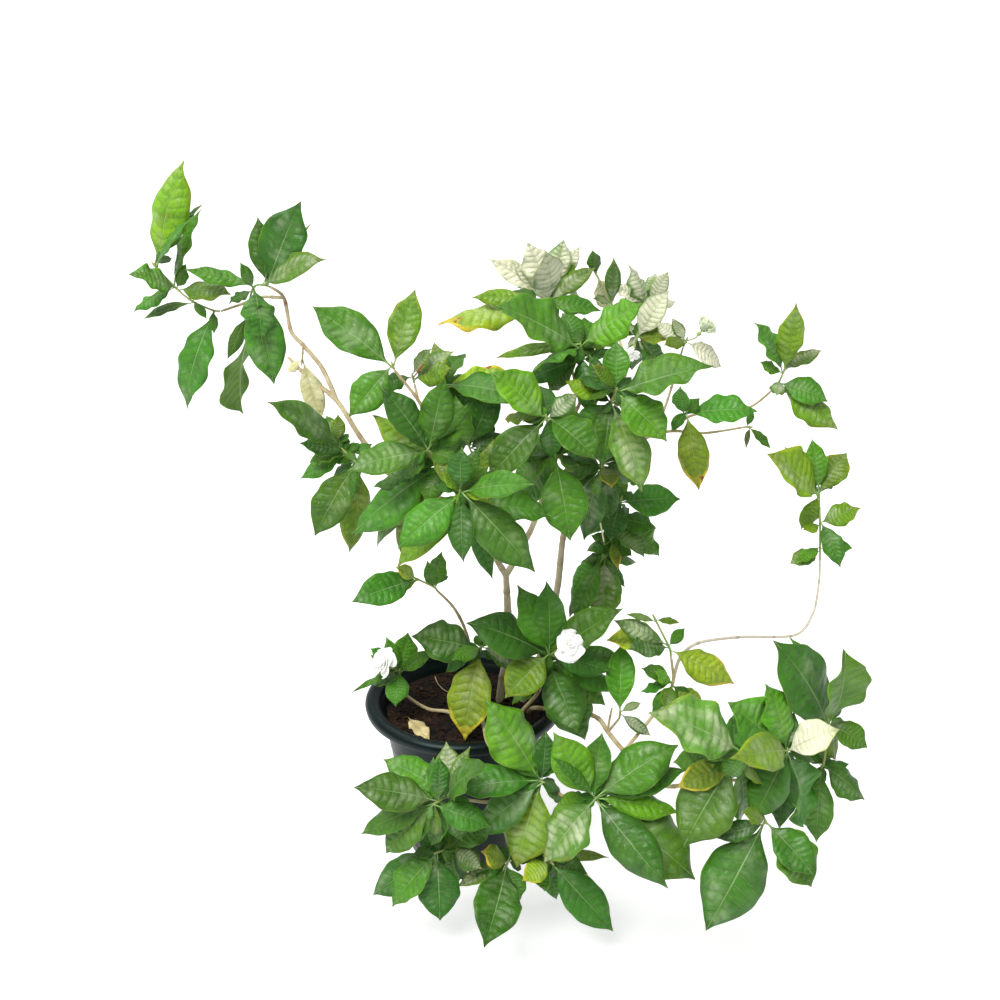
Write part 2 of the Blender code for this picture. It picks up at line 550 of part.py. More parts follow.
def rod(centre, radius, depth, sides, direction=Vector((0, 0, 1))):
    mesh = bpy.data.meshes.new("rod")
    bm = bmesh.new()
    turn = direction.to_track_quat("Z", "Y").to_matrix().to_4x4()
    bmesh.ops.create_cone(bm, cap_ends=True, segments=sides, radius1=radius, radius2=radius, depth=depth,
                          matrix=Matrix.Translation(centre) @ turn)
    bm.to_mesh(mesh)
    bm.free()
    return newObject("rod", mesh, guides)


def bodyRadius(height):
    return footRadius + (neckRadius - footRadius) * height / (potHeight - lipDrop)


def makePot():
    lipFoot = potHeight - lipDrop
    lipWall = 0.003
    outside = [(crestRadius, potHeight), (rimRadius - 0.003, potHeight - 0.003),
               (rimRadius, potHeight - 0.009), (rimRadius - 0.002, lipFoot),
               (rimRadius - 0.002 - lipWall, lipFoot), (rimRadius - 0.006, lipFoot + 0.008),
               (mouthRadius + 0.004, lipFoot + 0.0075)]
    outside += [(bodyRadius(height), height) for height in (lipFoot - 0.002, 0.003)]
    outside += [(footRadius - 0.002, 0), (0, 0)]
    inside = [(0, potFloor), (footRadius - 0.004, potFloor)]
    inside += [(bodyRadius(height) - potWall, height) for height in (0.03, soilTop)]
    inside += [(mouthRadius, potHeight - 0.008)]
    pot = revolved("pot", outside + inside + [outside[0]], "pot")
    holes = []
    for i in range(drainCount):
        angle = math.tau * (i + 0.5) / drainCount
        middle = Vector((math.cos(angle), math.sin(angle), 0)) * (footRadius + 0.001)
        middle.z = 0.012
        holes.append(rod(middle, drainRadius, 0.03, 6, Vector((math.cos(angle), math.sin(angle), 0.25))))
    cut(pot, holes)
    guides.objects.unlink(pot)
    parts.objects.link(pot)
    return pot


def soilRadius(height):
    return bodyRadius(height) - potWall - gap


def makeSoil(stemFeet):
    low = potFloor + gap
    rings = [(0, soilTop), (0.042, soilTop), (0.086, soilTop),
             (soilRadius(soilTop) - 0.0003, soilTop - 0.001)]
    wall = [(soilRadius(0.03), 0.03), (footRadius - 0.0045, low), (0, low)]
    soil = revolved("soil", rings + wall, "soil")
    draw = random.Random(seed)
    for vert in soil.data.vertices:
        if vert.co.z > soilTop - 0.0001 and vert.co.xy.length < 0.1:
            vert.co.z += draw.uniform(-soilBump, soilBump)
    holes = []
    for foot, radius in stemFeet:
        middle = Vector((foot.x, foot.y, soilTop - holeDepth / 2 + 0.01))
        holes.append(rod(middle, (radius + gap) / math.cos(math.pi / 8) + 0.0001, holeDepth + 0.02, 8))
    cut(soil, holes)
    guides.objects.unlink(soil)
    parts.objects.link(soil)
    return soil


def limbPoints(stem, limb):
    points = [seen(*place) for place in stems[stem]["limbs"][limb][2]]
    if limb == next(iter(stems[stem]["limbs"])):
        foot = seenAtHeight(*stems[stem]["soil"], soilTop)
        foot.z += soilBump + 0.003
        points = [Vector((foot.x, foot.y, soilTop - holeDepth + gap)), foot] + points
    else:
        sink = stems[stem]["limbs"][limb][0] / 1000 * 0.35
        points[0] = points[0] - (points[1] - points[0]).normalized() * sink
    carried = [data for data in shoots.values() if data[:2] == (stem, limb)]
    if carried:
        firstNode = seen(*carried[0][2][0][0])
        reach = (firstNode - points[-1]).length
        collar = max(0.002, min(collarLength, reach - nodeSpread * 1.5 - 0.002))
        points[-1] = points[-1] + (firstNode - points[-1]).normalized() * collar
    return points


def makeStem(name):
    made = []
    for limb, (first, last, places) in stems[name]["limbs"].items():
        sides = 6 if first > 3.1 else 4
        made.append(tube(limbPoints(name, limb), first / 1000, last / 1000, sides))
    return fuse(name, made[0], made[1:], "bark")


def stemFoot(name):
    limb = next(iter(stems[name]["limbs"].values()))
    return seenAtHeight(*stems[name]["soil"], soilTop), limb[0] / 1000


def shareOf(table, share):
    for (low, first), (high, last) in zip(table[:-1], table[1:]):
        if share <= high:
            return first + (last - first) * (share - low) / (high - low)
    return table[-1][1]


leafShape = ((0, 0.0), (0.12, 0.10), (0.35, 0.93), (0.50, 1.04), (0.66, 0.96), (1, 0.0))
petalShape = ((0, 0.10), (0.16, 0.30), (0.35, 0.65), (0.70, 1.0), (0.90, 0.86), (1, 0.45))
footShare = 0.12         # the straight foot of a blade, where it narrows into its stalk


# A point of the blade's middle surface and the direction that it faces there.
def bladePoint(blade, along, across):
    if along < footShare - 0.0001:
        edge, normal = bladePoint(blade, footShare, across)
        middle = bladePoint(blade, footShare, 0)[0]
        side = (bladePoint(blade, footShare, 1)[0] - bladePoint(blade, footShare, -1)[0]).normalized()
        share = along / footShare
        spread = blade["least"] + ((edge - middle).length - blade["least"]) * share
        return blade["base"] + (middle - blade["base"]) * share + side * spread * across, normal
    base, tip, face, length = blade["base"], blade["tip"], blade["face"], blade["length"]
    middle = (base + tip) / 2 + face * blade["arch"] * length
    point = base * (1 - along) ** 2 + middle * 2 * along * (1 - along) + tip * along ** 2
    run = ((middle - base) * (1 - along) + (tip - middle) * along).normalized()
    normal = (face - run * face.dot(run)).normalized()
    normal = Quaternion(run, blade["twist"] * (along - 0.3)) @ normal
    side = run.cross(normal)
    half = max(blade["width"] / 2 * shareOf(blade["shape"], along), blade["least"])
    if along >= 1 and blade["pointed"]:
        half = 0
    wave = math.sin(math.tau * blade["waves"] * along + blade["phase"] + (1.3 if across > 0 else 0))
    fold = blade["fold"] * min(1, (along - footShare) * 6)
    lift = half * abs(across) * fold + blade["wave"] * blade["width"] * across ** 2 * wave * (
        min(1, (along - footShare) * 4) * min(1, (1 - along) * 5))
    return point + side * half * across + normal * lift, normal


# The blade as a thin closed solid, split alike on both faces; rows are (along, columns).
def bladeMesh(blade, rows, grow=0.0):
    thick = blade["thick"] / 2 + grow
    grown = dict(blade, width=blade["width"] + grow * 2, least=blade["least"] + grow)
    top, low, lines, faces = [], [], [], []
    for along, columns in rows:
        line = []
        for i in range(columns):
            across = 0 if columns == 1 else -1 + 2 * i / (columns - 1)
            point, normal = bladePoint(grown, along, across)
            line.append(len(top))
            top.append(point + normal * thick)
            low.append(point - normal * thick)
        lines.append(line)
    count = len(top)

    def corner(line, i):
        return -1 + 2 * i / (len(line) - 1) if len(line) > 1 else 0

    for here, beyond in zip(lines[:-1], lines[1:]):
        if here is lines[0] and len(beyond) == 2:
            faces.append((here[0], here[1], beyond[1], beyond[0]))
            continue
        i = j = 0
        while i < len(here) - 1 or j < len(beyond) - 1:
            if j == len(beyond) - 1 or (i < len(here) - 1 and corner(here, i + 1) <= corner(beyond, j + 1)):
                faces.append((here[i], here[i + 1], beyond[j]))
                i += 1
            else:
                faces.append((here[i], beyond[j + 1], beyond[j]))
                j += 1
    faces += [tuple(count + i for i in reversed(face)) for face in faces]
    edge = [line[0] for line in lines] + lines[-1][1:] + [line[-1] for line in reversed(lines[:-1])]
    edge += list(reversed(lines[0][1:-1]))
    flat = set(lines[0] + lines[1]) if len(lines[1]) == 2 else set(lines[0])
    for a, b in zip(edge, edge[1:] + edge[:1]):
        if a in flat and b in flat:
            faces.append((b, a, count + a, count + b))
        elif a != b:
            faces += [(b, a, count + a), (b, count + a, count + b)]
    return top + low, faces


largeRows = ((0, 2), (footShare, 2), (0.35, 3), (0.66, 3), (1, 1))
smallRows = ((0, 2), (footShare, 2), (0.35, 2), (0.66, 2), (1, 1))
tinyRows = ((0, 2), (0.48, 3), (1, 1))
largeLeaf = 0.116
tinyLeaf = 0.050
petalRows = ((0, 2), (0.62, 3), (1, 2))


def leafRows(blade):
    if blade["length"] < tinyLeaf:
        return tinyRows
    return largeRows if blade["length"] > largeLeaf and not blade.get("hidden") else smallRows


def outerRows(blade, strict=True):
    return ((0.0035 / blade["length"] if strict else 0.16, 2 if strict else 3),) + (
        leafRows(blade)[1 if strict or len(leafRows(blade)) == 3 else 2:])


# A leaf from its node to its tip, as wide as it is seen from the viewer's place.
def leafBlade(base, tip, widthSeen, draw, roll=0, facing=None):
    run = tip - base
    length = run.length
    run.normalize()
    facing = facing or Vector((draw.uniform(-0.35, 0.35), draw.uniform(-0.85, -0.3), 0.85)).normalized()
    face = facing - run * facing.dot(run)
    if face.length < 0.25:
        face = -ahead - run * run.dot(-ahead) + above * 0.1
        face -= run * run.dot(face)
    face.normalize()
    face = Quaternion(run, math.radians(roll)) @ face
    sight = (base - eye).normalized()
    seenRun = (run - sight * run.dot(sight)).normalized()
    share = abs(run.cross(face).dot(sight.cross(seenRun)))
    width = widthSeen * pixelSize((base + tip) / 2) / max(0.6, share)
    width = min(width, length * 0.60)
    return {"base": base, "tip": tip, "face": face, "length": length, "width": width,
            "arch": draw.uniform(0.07, 0.15), "fold": draw.uniform(0.10, 0.34),
            "twist": draw.uniform(-0.5, 0.5), "waves": draw.uniform(2.4, 3.4),
            "phase": draw.uniform(0, math.tau), "wave": draw.uniform(0.02, 0.05),
            "least": petioleWidth / 2, "thick": bladeThick, "shape": leafShape, "pointed": True}


def treeOf(points, faces):
    return BVHTree.FromPolygons([tuple(point) for point in points], faces)


def boxOf(points):
    return (Vector(map(min, zip(*points))), Vector(map(max, zip(*points))))


def boxesMeet(one, other):
    return all(one[0][i] < other[1][i] and other[0][i] < one[1][i] for i in range(3))


def meshSolid(owner, mesh):
    points = [vert.co.copy() for vert in mesh.vertices]
    faces = [tuple(face.vertices) for face in mesh.polygons]
    return {"owner": owner, "box": boxOf(points), "tree": treeOf(points, faces)}


def meetsAny(points, faces, solids):
    box = boxOf(points)
    tree = None
    for solid in solids:
        if boxesMeet(box, solid["box"]):
            tree = tree or treeOf(points, faces)
            if tree.overlap(solid["tree"]):
                return True
    return False


# Every leaf keeps clear of the other shoots, the wood, the pot and the flowers: it swings toward or
# away from the viewer, then rolls, until it is free. Its tip stays on its own sight line.
swings = (0, 1, -1, 2, -2, 3, -3, 4.5, -4.5, 6, -6, 8, -8)
rolls = (0, 25, -25, 50, -50)


def isFree(blade, shoot, fixed, placed, strict=True):
    others = [solid for solid in fixed if solid["owner"] != shoot]
    others += [solid for solid in placed if solid["owner"] != shoot]
    if meetsAny(*bladeMesh(blade, leafRows(blade), clearance), others):
        return False
    own = [solid for solid in placed if solid["owner"] == shoot]
    outer = bladeMesh(blade, outerRows(blade, strict), clearance / 4)
    if meetsAny(*outer, own if strict else [solid["outer"] for solid in own]):
        return False
    if meetsAny(*outer, [solid for solid in fixed if solid["owner"] == shoot]):
        return False
    return not strict or not meetsAny(*bladeMesh(blade, leafRows(blade)), [solid["outer"] for solid in own])


def addPlaced(blade, shoot, placed):
    points, faces = bladeMesh(blade, leafRows(blade))
    outer = bladeMesh(blade, outerRows(blade))
    placed.append({"owner": shoot, "box": boxOf(points), "tree": treeOf(points, faces), "blade": blade,
                   "outer": {"box": boxOf(outer[0]), "tree": treeOf(*outer)}})


# Where a leaf leaves its twig: just under the bark on its own side, each a little further on.
def leafFoot(shoot, node, order, tip):
    points = twigPoints(shoot)
    spot = points[node + 1]
    shift = max((order % 4 - 1.5) * nodeSpread, 0.002 - (spot - points[node]).length)
    axis = (spot - points[node]).normalized()
    if shift > 0 and node + 2 < len(points):
        axis = (points[node + 2] - spot).normalized()
    way = (tip - spot).normalized()
    out = way - axis * way.dot(axis)
    return spot + axis * shift + out * shootRadius(shoot) * 0.15


def placeLeaf(shoot, node, order, leaf, fixed, placed, number):
    across, down, width, nearer, kind = leaf
    near = shoots[shoot][2][node][0][2] + nearer
    for shorter, strict in ((1, True), (1, False), (0.8, True), (0.8, False), (0.62, False)):
        for roll in rolls:
            for swing in swings:
                tip = seen(across, down, near + swing)
                base = leafFoot(shoot, node, order, tip)
                tip = base + (tip - base) * shorter
                blade = leafBlade(base, tip, width * shorter, random.Random(seed * 1000 + number), roll)
                blade["kind"] = kind
                if tip.z > 0.012 and isFree(blade, shoot, fixed, placed, strict):
                    addPlaced(blade, shoot, placed)
                    return True
    print("left out", shoot, leaf)
    return False


def hiddenFromViewer(blade, placed):
    for along, across in ((0.35, -0.9), (0.35, 0.9), (0.6, -0.9), (0.6, 0.9), (0.85, 0), (1, 0)):
        point = bladePoint(blade, along, across)[0]
        way = eye - point
        if not any(solid["tree"].ray_cast(point, way.normalized(), way.length)[0] for solid in placed
                   if solid["blade"] is not blade):
            return False
    return True


# Leaves on the far side of each shoot, kept where nearer leaves cover them.
def placeBackLeaves(fixed, placed):
    draw = random.Random(seed + 5)
    for shoot, (stem, limb, nodes) in shoots.items():
        kept = 0 if sum(len(leaves) for place, leaves in nodes) > 4 else backLeaves
        for attempt in range(26):
            node = draw.randrange(len(nodes))
            turn = draw.uniform(-1.1, 1.1)
            way = Vector((math.sin(turn), math.cos(turn), draw.uniform(-0.75, 0.45))).normalized()
            length = draw.uniform(*backLength)
            base = leafFoot(shoot, node, attempt % 3 + 0.5, seen(*nodes[node][0]) + way)
            facing = (way * -0.3 + Vector((draw.uniform(-0.3, 0.3), 0.35, 0.9))).normalized()
            blade = leafBlade(base, base + way * length, 1, draw, 0, facing)
            blade["width"] = length * draw.uniform(0.34, 0.44)
            blade["kind"] = draw.choice("ddm")
            blade["hidden"] = True
            if kept < backLeaves and (base + way * length).z > 0.02:
                if hiddenFromViewer(blade, placed) and isFree(blade, shoot, fixed, placed):
                    addPlaced(blade, shoot, placed)
                    kept += 1


def twigPoints(shoot):
    stem, limb, nodes = shoots[shoot]
    before, end = limbPoints(stem, limb)[-2:]
    way = (seen(*nodes[0][0]) - end).normalized()
    tilt = way.cross((end - before).normalized()).length
    start = end + way * (gap + shootRadius(shoot) * tilt * 1.1)
    return [start] + [seen(*place) for place, leaves in nodes]


def makeTwig(shoot):
    points = twigPoints(shoot)
    points.append(points[-1] + (points[-1] - points[-2]).normalized() * (nodeSpread * 1.5 + 0.0015))
    return tube(points, shootRadius(shoot), twigRadius, 4)


def shootRadius(shoot):
    stem, limb, nodes = shoots[shoot]
    return max(twigRadius, stems[stem]["limbs"][limb][1] / 1000 * 0.94)


def bloomStalk(name):
    shoot, node, end, middle, radius, kind = blooms[name]
    axis = (seen(*middle) - seen(*end)).normalized()
    return [seen(*shoots[shoot][2][node][0]), seen(*end) - axis * 0.004, seen(*end)]


# A bloom: a short tube, then whorls of waved petals that grow smaller toward the middle.
def makeBloom(name):
    shoot, node, end, middle, radius, kind = blooms[name]
    start = seen(*end)
    axis = (seen(*middle) - start).normalized()
    draw = random.Random(name)
    side = axis.orthogonal().normalized()
    if kind == "slender":
        reach = (seen(*middle) - start).length
        stalk = start + axis * gap
        spots = [stalk, stalk + axis * reach * 0.55, stalk + axis * reach * 0.72,
                 stalk + axis * reach * 0.88, stalk + axis * reach]
        body = tube(spots, 0.0012, 0.0012, 6)
        for vert in body.data.vertices:
            share = (vert.co - stalk).dot(axis) / reach
            swell = 1 + 1.9 * math.exp(-((share - 0.84) / 0.11) ** 2)
            foot = stalk + axis * (vert.co - stalk).dot(axis)
            vert.co = foot + (vert.co - foot) * swell
        return fuse(name, body, [], "bud")
    tubeEnd = start + axis * ((seen(*middle) - start).length - radius * 0.25)
    body = tube([start + axis * gap, tubeEnd, tubeEnd + axis * radius * 0.35], 0.0016, radius * 0.24, 6)
    whorls = {"open": ((5, 1.0, 0.10, 0.1), (4, 0.78, 0.80, 0.6)),
              "small": ((5, 1.0, 0.35, 0.3),),
              "bud": ((4, 1.00, 1.10, 0.3),)}[kind]
    petals = []
    for count, reach, rise, level in whorls:
        for i in range(count):
            angle = math.tau * (i + rise + draw.uniform(-0.12, 0.12)) / count
            out = Quaternion(axis, angle) @ side
            lean = rise + draw.uniform(-0.12, 0.12)
            way = (out * math.cos(lean) + axis * math.sin(lean)).normalized()
            size = radius * reach * draw.uniform(0.92, 1.05)
            neck = 0.0016 + (radius * 0.24 - 0.0016) * (0.5 + level * 0.5)
            base = tubeEnd + axis * radius * 0.35 * level + out * neck * 0.62
            blade = {"base": base, "tip": base + way * size, "length": size,
                     "face": Quaternion(way, 0.3) @ (axis * math.cos(lean) - out * math.sin(lean)),
                     "width": size * 0.80, "arch": -0.16 if kind == "bud" else 0.10,
                     "fold": 0.22, "twist": draw.uniform(-0.2, 0.3), "waves": 2.2,
                     "phase": draw.uniform(0, math.tau), "wave": 0.06, "least": 0.0012,
                     "thick": bladeThick, "shape": petalShape, "pointed": False}
            points, faces = bladeMesh(blade, petalRows)
            petals.append(bladeObject(points, faces))
    return fuse(name, body, petals, "petal")


def bladeObject(points, faces):
    mesh = bpy.data.meshes.new("blade")
    mesh.from_pydata([tuple(point) for point in points], [], faces)
    bm = bmesh.new()
    bm.from_mesh(mesh)
    bmesh.ops.recalc_face_normals(bm, faces=bm.faces)
    bm.to_mesh(mesh)
    bm.free()
    return newObject("blade", mesh, guides)


# Let a loose piece down until it lies just off the surface under it.
def lower(obj, onto, rest):
    tree = meshSolid("", onto.data)["tree"]
    drops = []
    for vert in obj.data.vertices:
        hit = tree.ray_cast(vert.co, Vector((0, 0, -1)))
        if hit[0]:
            drops.append(hit[3])
    for vert in obj.data.vertices:
        vert.co.z -= min(drops)
    points = [vert.co for vert in obj.data.vertices]
    faces = [tuple(face.vertices) for face in obj.data.polygons]
    while treeOf([point - Vector((0, 0, rest)) for point in points], faces).overlap(tree):
        for point in points:
            point.z += rest / 3


def makeDryLeaf(soil):
    draw = random.Random(seed + 2)
    base = seenAtHeight(408, 711, soilTop + 0.012)
    tip = seenAtHeight(429, 734, soilTop + 0.012)
    blade = leafBlade(base, tip, 24, draw, 0, Vector((0.1, -0.1, 1)).normalized())
    blade.update(width=0.024, fold=0.35, wave=0.10, arch=0.05)
    made = bladeObject(*bladeMesh(blade, ((0, 2), (0.25, 3), (0.45, 3), (0.65, 3), (0.85, 2), (1, 1))))
    lower(made, soil, gap)
    return fuse("dry_leaf", made, [], "dry")


def makeRootlet(soil):
    spots = [(435, 673), (438, 680), (444, 686), (452, 690)]
    made = tube([seenAtHeight(*spot, soilTop + 0.008) for spot in spots], 0.0006, 0.0005, 4)
    lower(made, soil, gap)
    return fuse("rootlet", made, [], "dry")


pot = makePot()
soil = makeSoil([stemFoot(name) for name in stems])
fixed = [meshSolid("pot", pot.data), meshSolid("soil", soil.data)]
for name in stems:
    fixed.append(meshSolid(name, makeStem(name).data))
dryLeaf = makeDryLeaf(soil)
rootlet = makeRootlet(soil)
fixed += [meshSolid("dry_leaf", dryLeaf.data), meshSolid("rootlet", rootlet.data)]

twigs = {}
for name in blooms:
    fixed.append(meshSolid(name, makeBloom(name).data))
for shoot in shoots:
    twigs[shoot] = [makeTwig(shoot)]
    twigs[shoot] += [tube(bloomStalk(name), 0.0011, 0.0010, 4) for name in blooms
                     if blooms[name][0] == shoot]
    fixed += [meshSolid(shoot, twig.data) for twig in twigs[shoot]]

placed = []
number = 0
for shoot, (stem, limb, nodes) in shoots.items():
    for node, (place, leaves) in enumerate(nodes):
        for order, leaf in enumerate(leaves):
            number += 1
            placeLeaf(shoot, node, order, leaf, fixed, placed, number)
photoLeaves = len(placed)
placeBackLeaves(fixed, placed)
print("leaves", photoLeaves, "+", len(placed) - photoLeaves)

for shoot in shoots:
    blades = [bladeObject(*bladeMesh(solid["blade"], leafRows(solid["blade"])))
              for solid in placed if solid["owner"] == shoot]
    fuse(shoot, twigs[shoot][0], twigs[shoot][1:] + blades,
         "withered" if shoot == "withered_leaf" else "leaf")

for made in parts.objects:
    if made.name in ("pot", "soil") or made.name in stems:
        for face in made.data.polygons:
            face.use_smooth = True
print("triangles", sum(len(made.data.polygons) for made in parts.objects))
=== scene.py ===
import math
import random
from itertools import product

import bpy
import bmesh
from mathutils import Matrix, Quaternion, Vector, noise
from mathutils.kdtree import KDTree


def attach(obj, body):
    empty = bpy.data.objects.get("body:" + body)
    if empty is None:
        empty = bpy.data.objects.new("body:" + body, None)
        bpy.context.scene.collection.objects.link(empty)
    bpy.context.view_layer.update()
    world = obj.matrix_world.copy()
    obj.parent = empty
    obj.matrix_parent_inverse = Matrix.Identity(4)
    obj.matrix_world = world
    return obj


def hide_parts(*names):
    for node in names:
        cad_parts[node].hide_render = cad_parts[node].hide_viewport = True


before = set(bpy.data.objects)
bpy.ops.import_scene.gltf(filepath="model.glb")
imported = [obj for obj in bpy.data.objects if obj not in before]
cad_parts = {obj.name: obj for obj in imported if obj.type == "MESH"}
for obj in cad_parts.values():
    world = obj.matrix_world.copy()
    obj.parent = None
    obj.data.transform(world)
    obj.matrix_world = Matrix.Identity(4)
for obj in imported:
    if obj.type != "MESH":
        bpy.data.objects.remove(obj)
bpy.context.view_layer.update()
print("frame loaded:", len(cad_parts), "nodes")

# Camera: also the place that all the spots of the tables below are read from
camera = {"place": (0.054, -1.84, 1.32), "pitch": 22, "lens": 50, "sensor": 36, "middle": 500}
eye = Vector(camera["place"])
eyePitch = math.radians(camera["pitch"])
eyeReach = camera["lens"] / camera["sensor"] * 1000
ahead = Vector((0, math.cos(eyePitch), -math.sin(eyePitch)))
above = Vector((0, math.sin(eyePitch), math.cos(eyePitch)))
rightward = Vector((1, 0, 0))


def placeObject(name, data):
    made = bpy.data.objects.new(name, data)
    bpy.context.scene.collection.objects.link(made)
    return made


def makeCamera():
    data = bpy.data.cameras.new("camera")
    data.lens = camera["lens"]
    data.sensor_width = camera["sensor"]
    made = placeObject("camera", data)
    made.location = eye
    made.rotation_euler = (math.pi / 2 - eyePitch, 0, 0)
    bpy.context.scene.camera = made


makeCamera()

# Woody stems. Each starts where it leaves the soil; each limb is (first radius, last radius in
# mm, places), and a limb that starts on another one repeats that place.
stems = {
    "stem_tall": ((500, 700), {
        "trunk": (4.3, 3.8, [(508, 640, -2.5), (506, 575, -2)]),
        "leftFork": (3.5, 2.8, [(506, 575, -2), (497, 560, -1), (488, 540, 1), (480, 515, 3)]),
        "longBranch": (2.8, 1.9, [(480, 515, 3), (400, 480, -7), (364, 442, -12), (337, 401, -16),
            (307, 376, -20), (288, 357, -22)]),
        "secondBranch": (2.2, 1.6, [(337, 401, -16), (322, 368, -19), (303, 345, -21),
            (291, 331, -22.5), (284, 298, -24), (276, 289, -25)]),
        "farBranch": (1.8, 1.4, [(284, 298, -24), (262, 297, -27.5), (245, 303, -28.5),
            (226, 312, -28)]),
        "witheredSpur": (1.3, 1.1, [(303, 345, -21), (303, 352, -19)]),
        "leftMidSpur": (1.9, 1.5, [(400, 480, -7), (378, 467, -5.5)]),
        "upperLeft": (2.6, 1.6, [(480, 515, 3), (463, 474, 2), (442, 440, 0), (418, 400, -1),
            (396, 374, -2)]),
        "upperLeftSpur": (1.7, 1.4, [(418, 400, -1), (416, 390, -4.5)]),
        "upperMidSpur": (1.9, 1.4, [(442, 440, 0), (446, 412, -5), (444, 400, -7)]),
        "leftRosette": (2.0, 1.6, [(463, 474, 2), (447, 470, 4)]),
        "centreBack": (2.0, 1.5, [(480, 515, 3), (484, 490, -1), (476, 464, -3)]),
        "frontRosette": (2.2, 1.8, [(480, 515, 3), (477, 513, 8)]),
        "rightFork": (3.4, 2.5, [(506, 575, -2), (514, 562, -2), (523, 545, 0), (533, 525, 2),
            (545, 492, 3), (552, 475, 3)]),
        "centre": (2.1, 1.8, [(552, 475, 3), (556, 468, 4.5)]),
        "upper": (2.2, 1.7, [(552, 475, 3), (563, 435, -2), (580, 402, -5), (584, 372, -6)]),
        "topBack": (1.9, 1.4, [(580, 402, -5), (572, 370, -10), (561, 335, -14), (552, 314, -17)]),
        "topLeft": (1.5, 1.3, [(561, 335, -14), (549, 315, -12.5)])}),
    "stem_right": ((524, 700), {
        "trunk": (3.7, 3.2, [(546, 640, -4), (557, 590, -5), (562, 545, -6), (566, 520, -6)]),
        "crown": (3.0, 2.0, [(566, 520, -6), (578, 480, -5), (596, 445, -3), (608, 414, 0)]),
        "under": (1.7, 1.4, [(596, 445, -3), (601, 456, -0.5)]),
        "topRight": (2.2, 1.5, [(596, 445, -3), (618, 400, -11), (628, 365, -16), (634, 349, -18.5)]),
        "topBackRight": (1.6, 1.3, [(628, 365, -16), (618, 335, -20), (614, 318, -21.5)]),
        "right": (2.4, 1.4, [(578, 480, -5), (612, 458, -10), (648, 437, -12), (672, 431, -13),
            (705, 433, -15), (741, 427, -17)]),
        "rightWhorl": (1.6, 1.3, [(672, 431, -13), (680, 421, -12)]),
        "farRight": (1.7, 1.3, [(672, 431, -13), (688, 417, -16), (715, 411, -17.5), (750, 407, -18.5),
            (773, 391, -19.5)]),
        "bud": (1.7, 1.3, [(648, 437, -12), (664, 410, -13), (681, 352, -15)]),
        "side": (2.0, 1.5, [(546, 640, -4), (580, 612, -8), (606, 592, -10), (618, 573, -10),
            (615, 554, -8)]),
        "sideSpur": (1.4, 1.3, [(618, 573, -10), (610, 565, -7)])}),
    "stem_low_left": ((478, 690), {
        "main": (2.3, 1.5, [(475, 670, -1), (466, 632, 0), (454, 608, 1.5), (440, 594, 2.5)]),
        "potLeft": (1.7, 1.4, [(475, 670, -1), (479, 661, 1.5)])}),
    "stem_front": ((521, 717), {
        "main": (2.6, 1.9, [(537, 694, 2), (546, 672, 5)])}),
    "stem_small": ((452, 717), {
        "main": (2.4, 1.7, [(428, 709, 1), (406, 695, -0.5), (401, 683, 0)])}),
    "stem_over_front": ((481, 716), {
        "main": (2.7, 2.2, [(485, 731, 10.6), (489, 744, 15.8), (507, 766, 18), (525, 772, 21)]),
        "centreA": (1.8, 1.6, [(525, 772, 21), (533, 777, 22.8)]),
        "centreB": (2.0, 1.7, [(525, 772, 21), (548, 786, 21.5), (570, 800, 25), (585, 800, 28)]),
        "lowLeft": (2.0, 1.6, [(507, 766, 18), (506, 790, 20), (492, 802, 22), (466, 800, 24)]),
        "lowLeftB": (1.7, 1.4, [(492, 802, 22), (489, 830, 21.5), (462, 846, 22.5)]),
        "lowCentre": (1.8, 1.4, [(506, 790, 20), (521, 825, 20.5), (530, 844, 21.5)]),
        "lowLeftC": (1.5, 1.3, [(521, 825, 20.5), (513, 850, 22.5)])}),
    "stem_over_right": ((530, 713), {
        "main": (2.9, 2.2, [(548, 709, 5.5), (560, 706, 7), (596, 717, 9), (608, 732, 12),
            (624, 751, 16), (657, 782, 22), (677, 786, 25), (705, 776, 29)]),
        "stub": (1.4, 1.0, [(608, 732, 12), (609, 722, 12.2), (612, 708, 12.8)]),
        "leafTwig": (1.4, 1.2, [(608, 732, 12), (619, 722, 13.5)]),
        "sideTwig": (2.0, 1.5, [(624, 751, 16), (648, 722, 13), (664, 700, 11.5), (673, 682, 10.5),
            (672, 661, 10)]),
        "sideLow": (1.4, 1.2, [(664, 700, 11.5), (670, 693, 13.5)]),
        "longThin": (1.7, 1.2, [(673, 682, 10.5), (680, 658, 8), (698, 643, 7), (740, 637, 3),
            (795, 635, -3), (813, 613, -6), (819, 582, -8), (820, 566, -9)]),
        "lowRightA": (1.9, 1.6, [(705, 776, 29), (726, 764, 33)]),
        "lowRightC": (1.9, 1.5, [(705, 776, 29), (740, 780, 27.5), (768, 768, 28), (777, 760, 30)]),
        "lowRightB": (1.7, 1.4, [(740, 780, 27.5), (755, 800, 32), (760, 810, 35.5)]),
        "farLow": (1.6, 1.3, [(768, 768, 28), (804, 778, 26.5)])}),
}

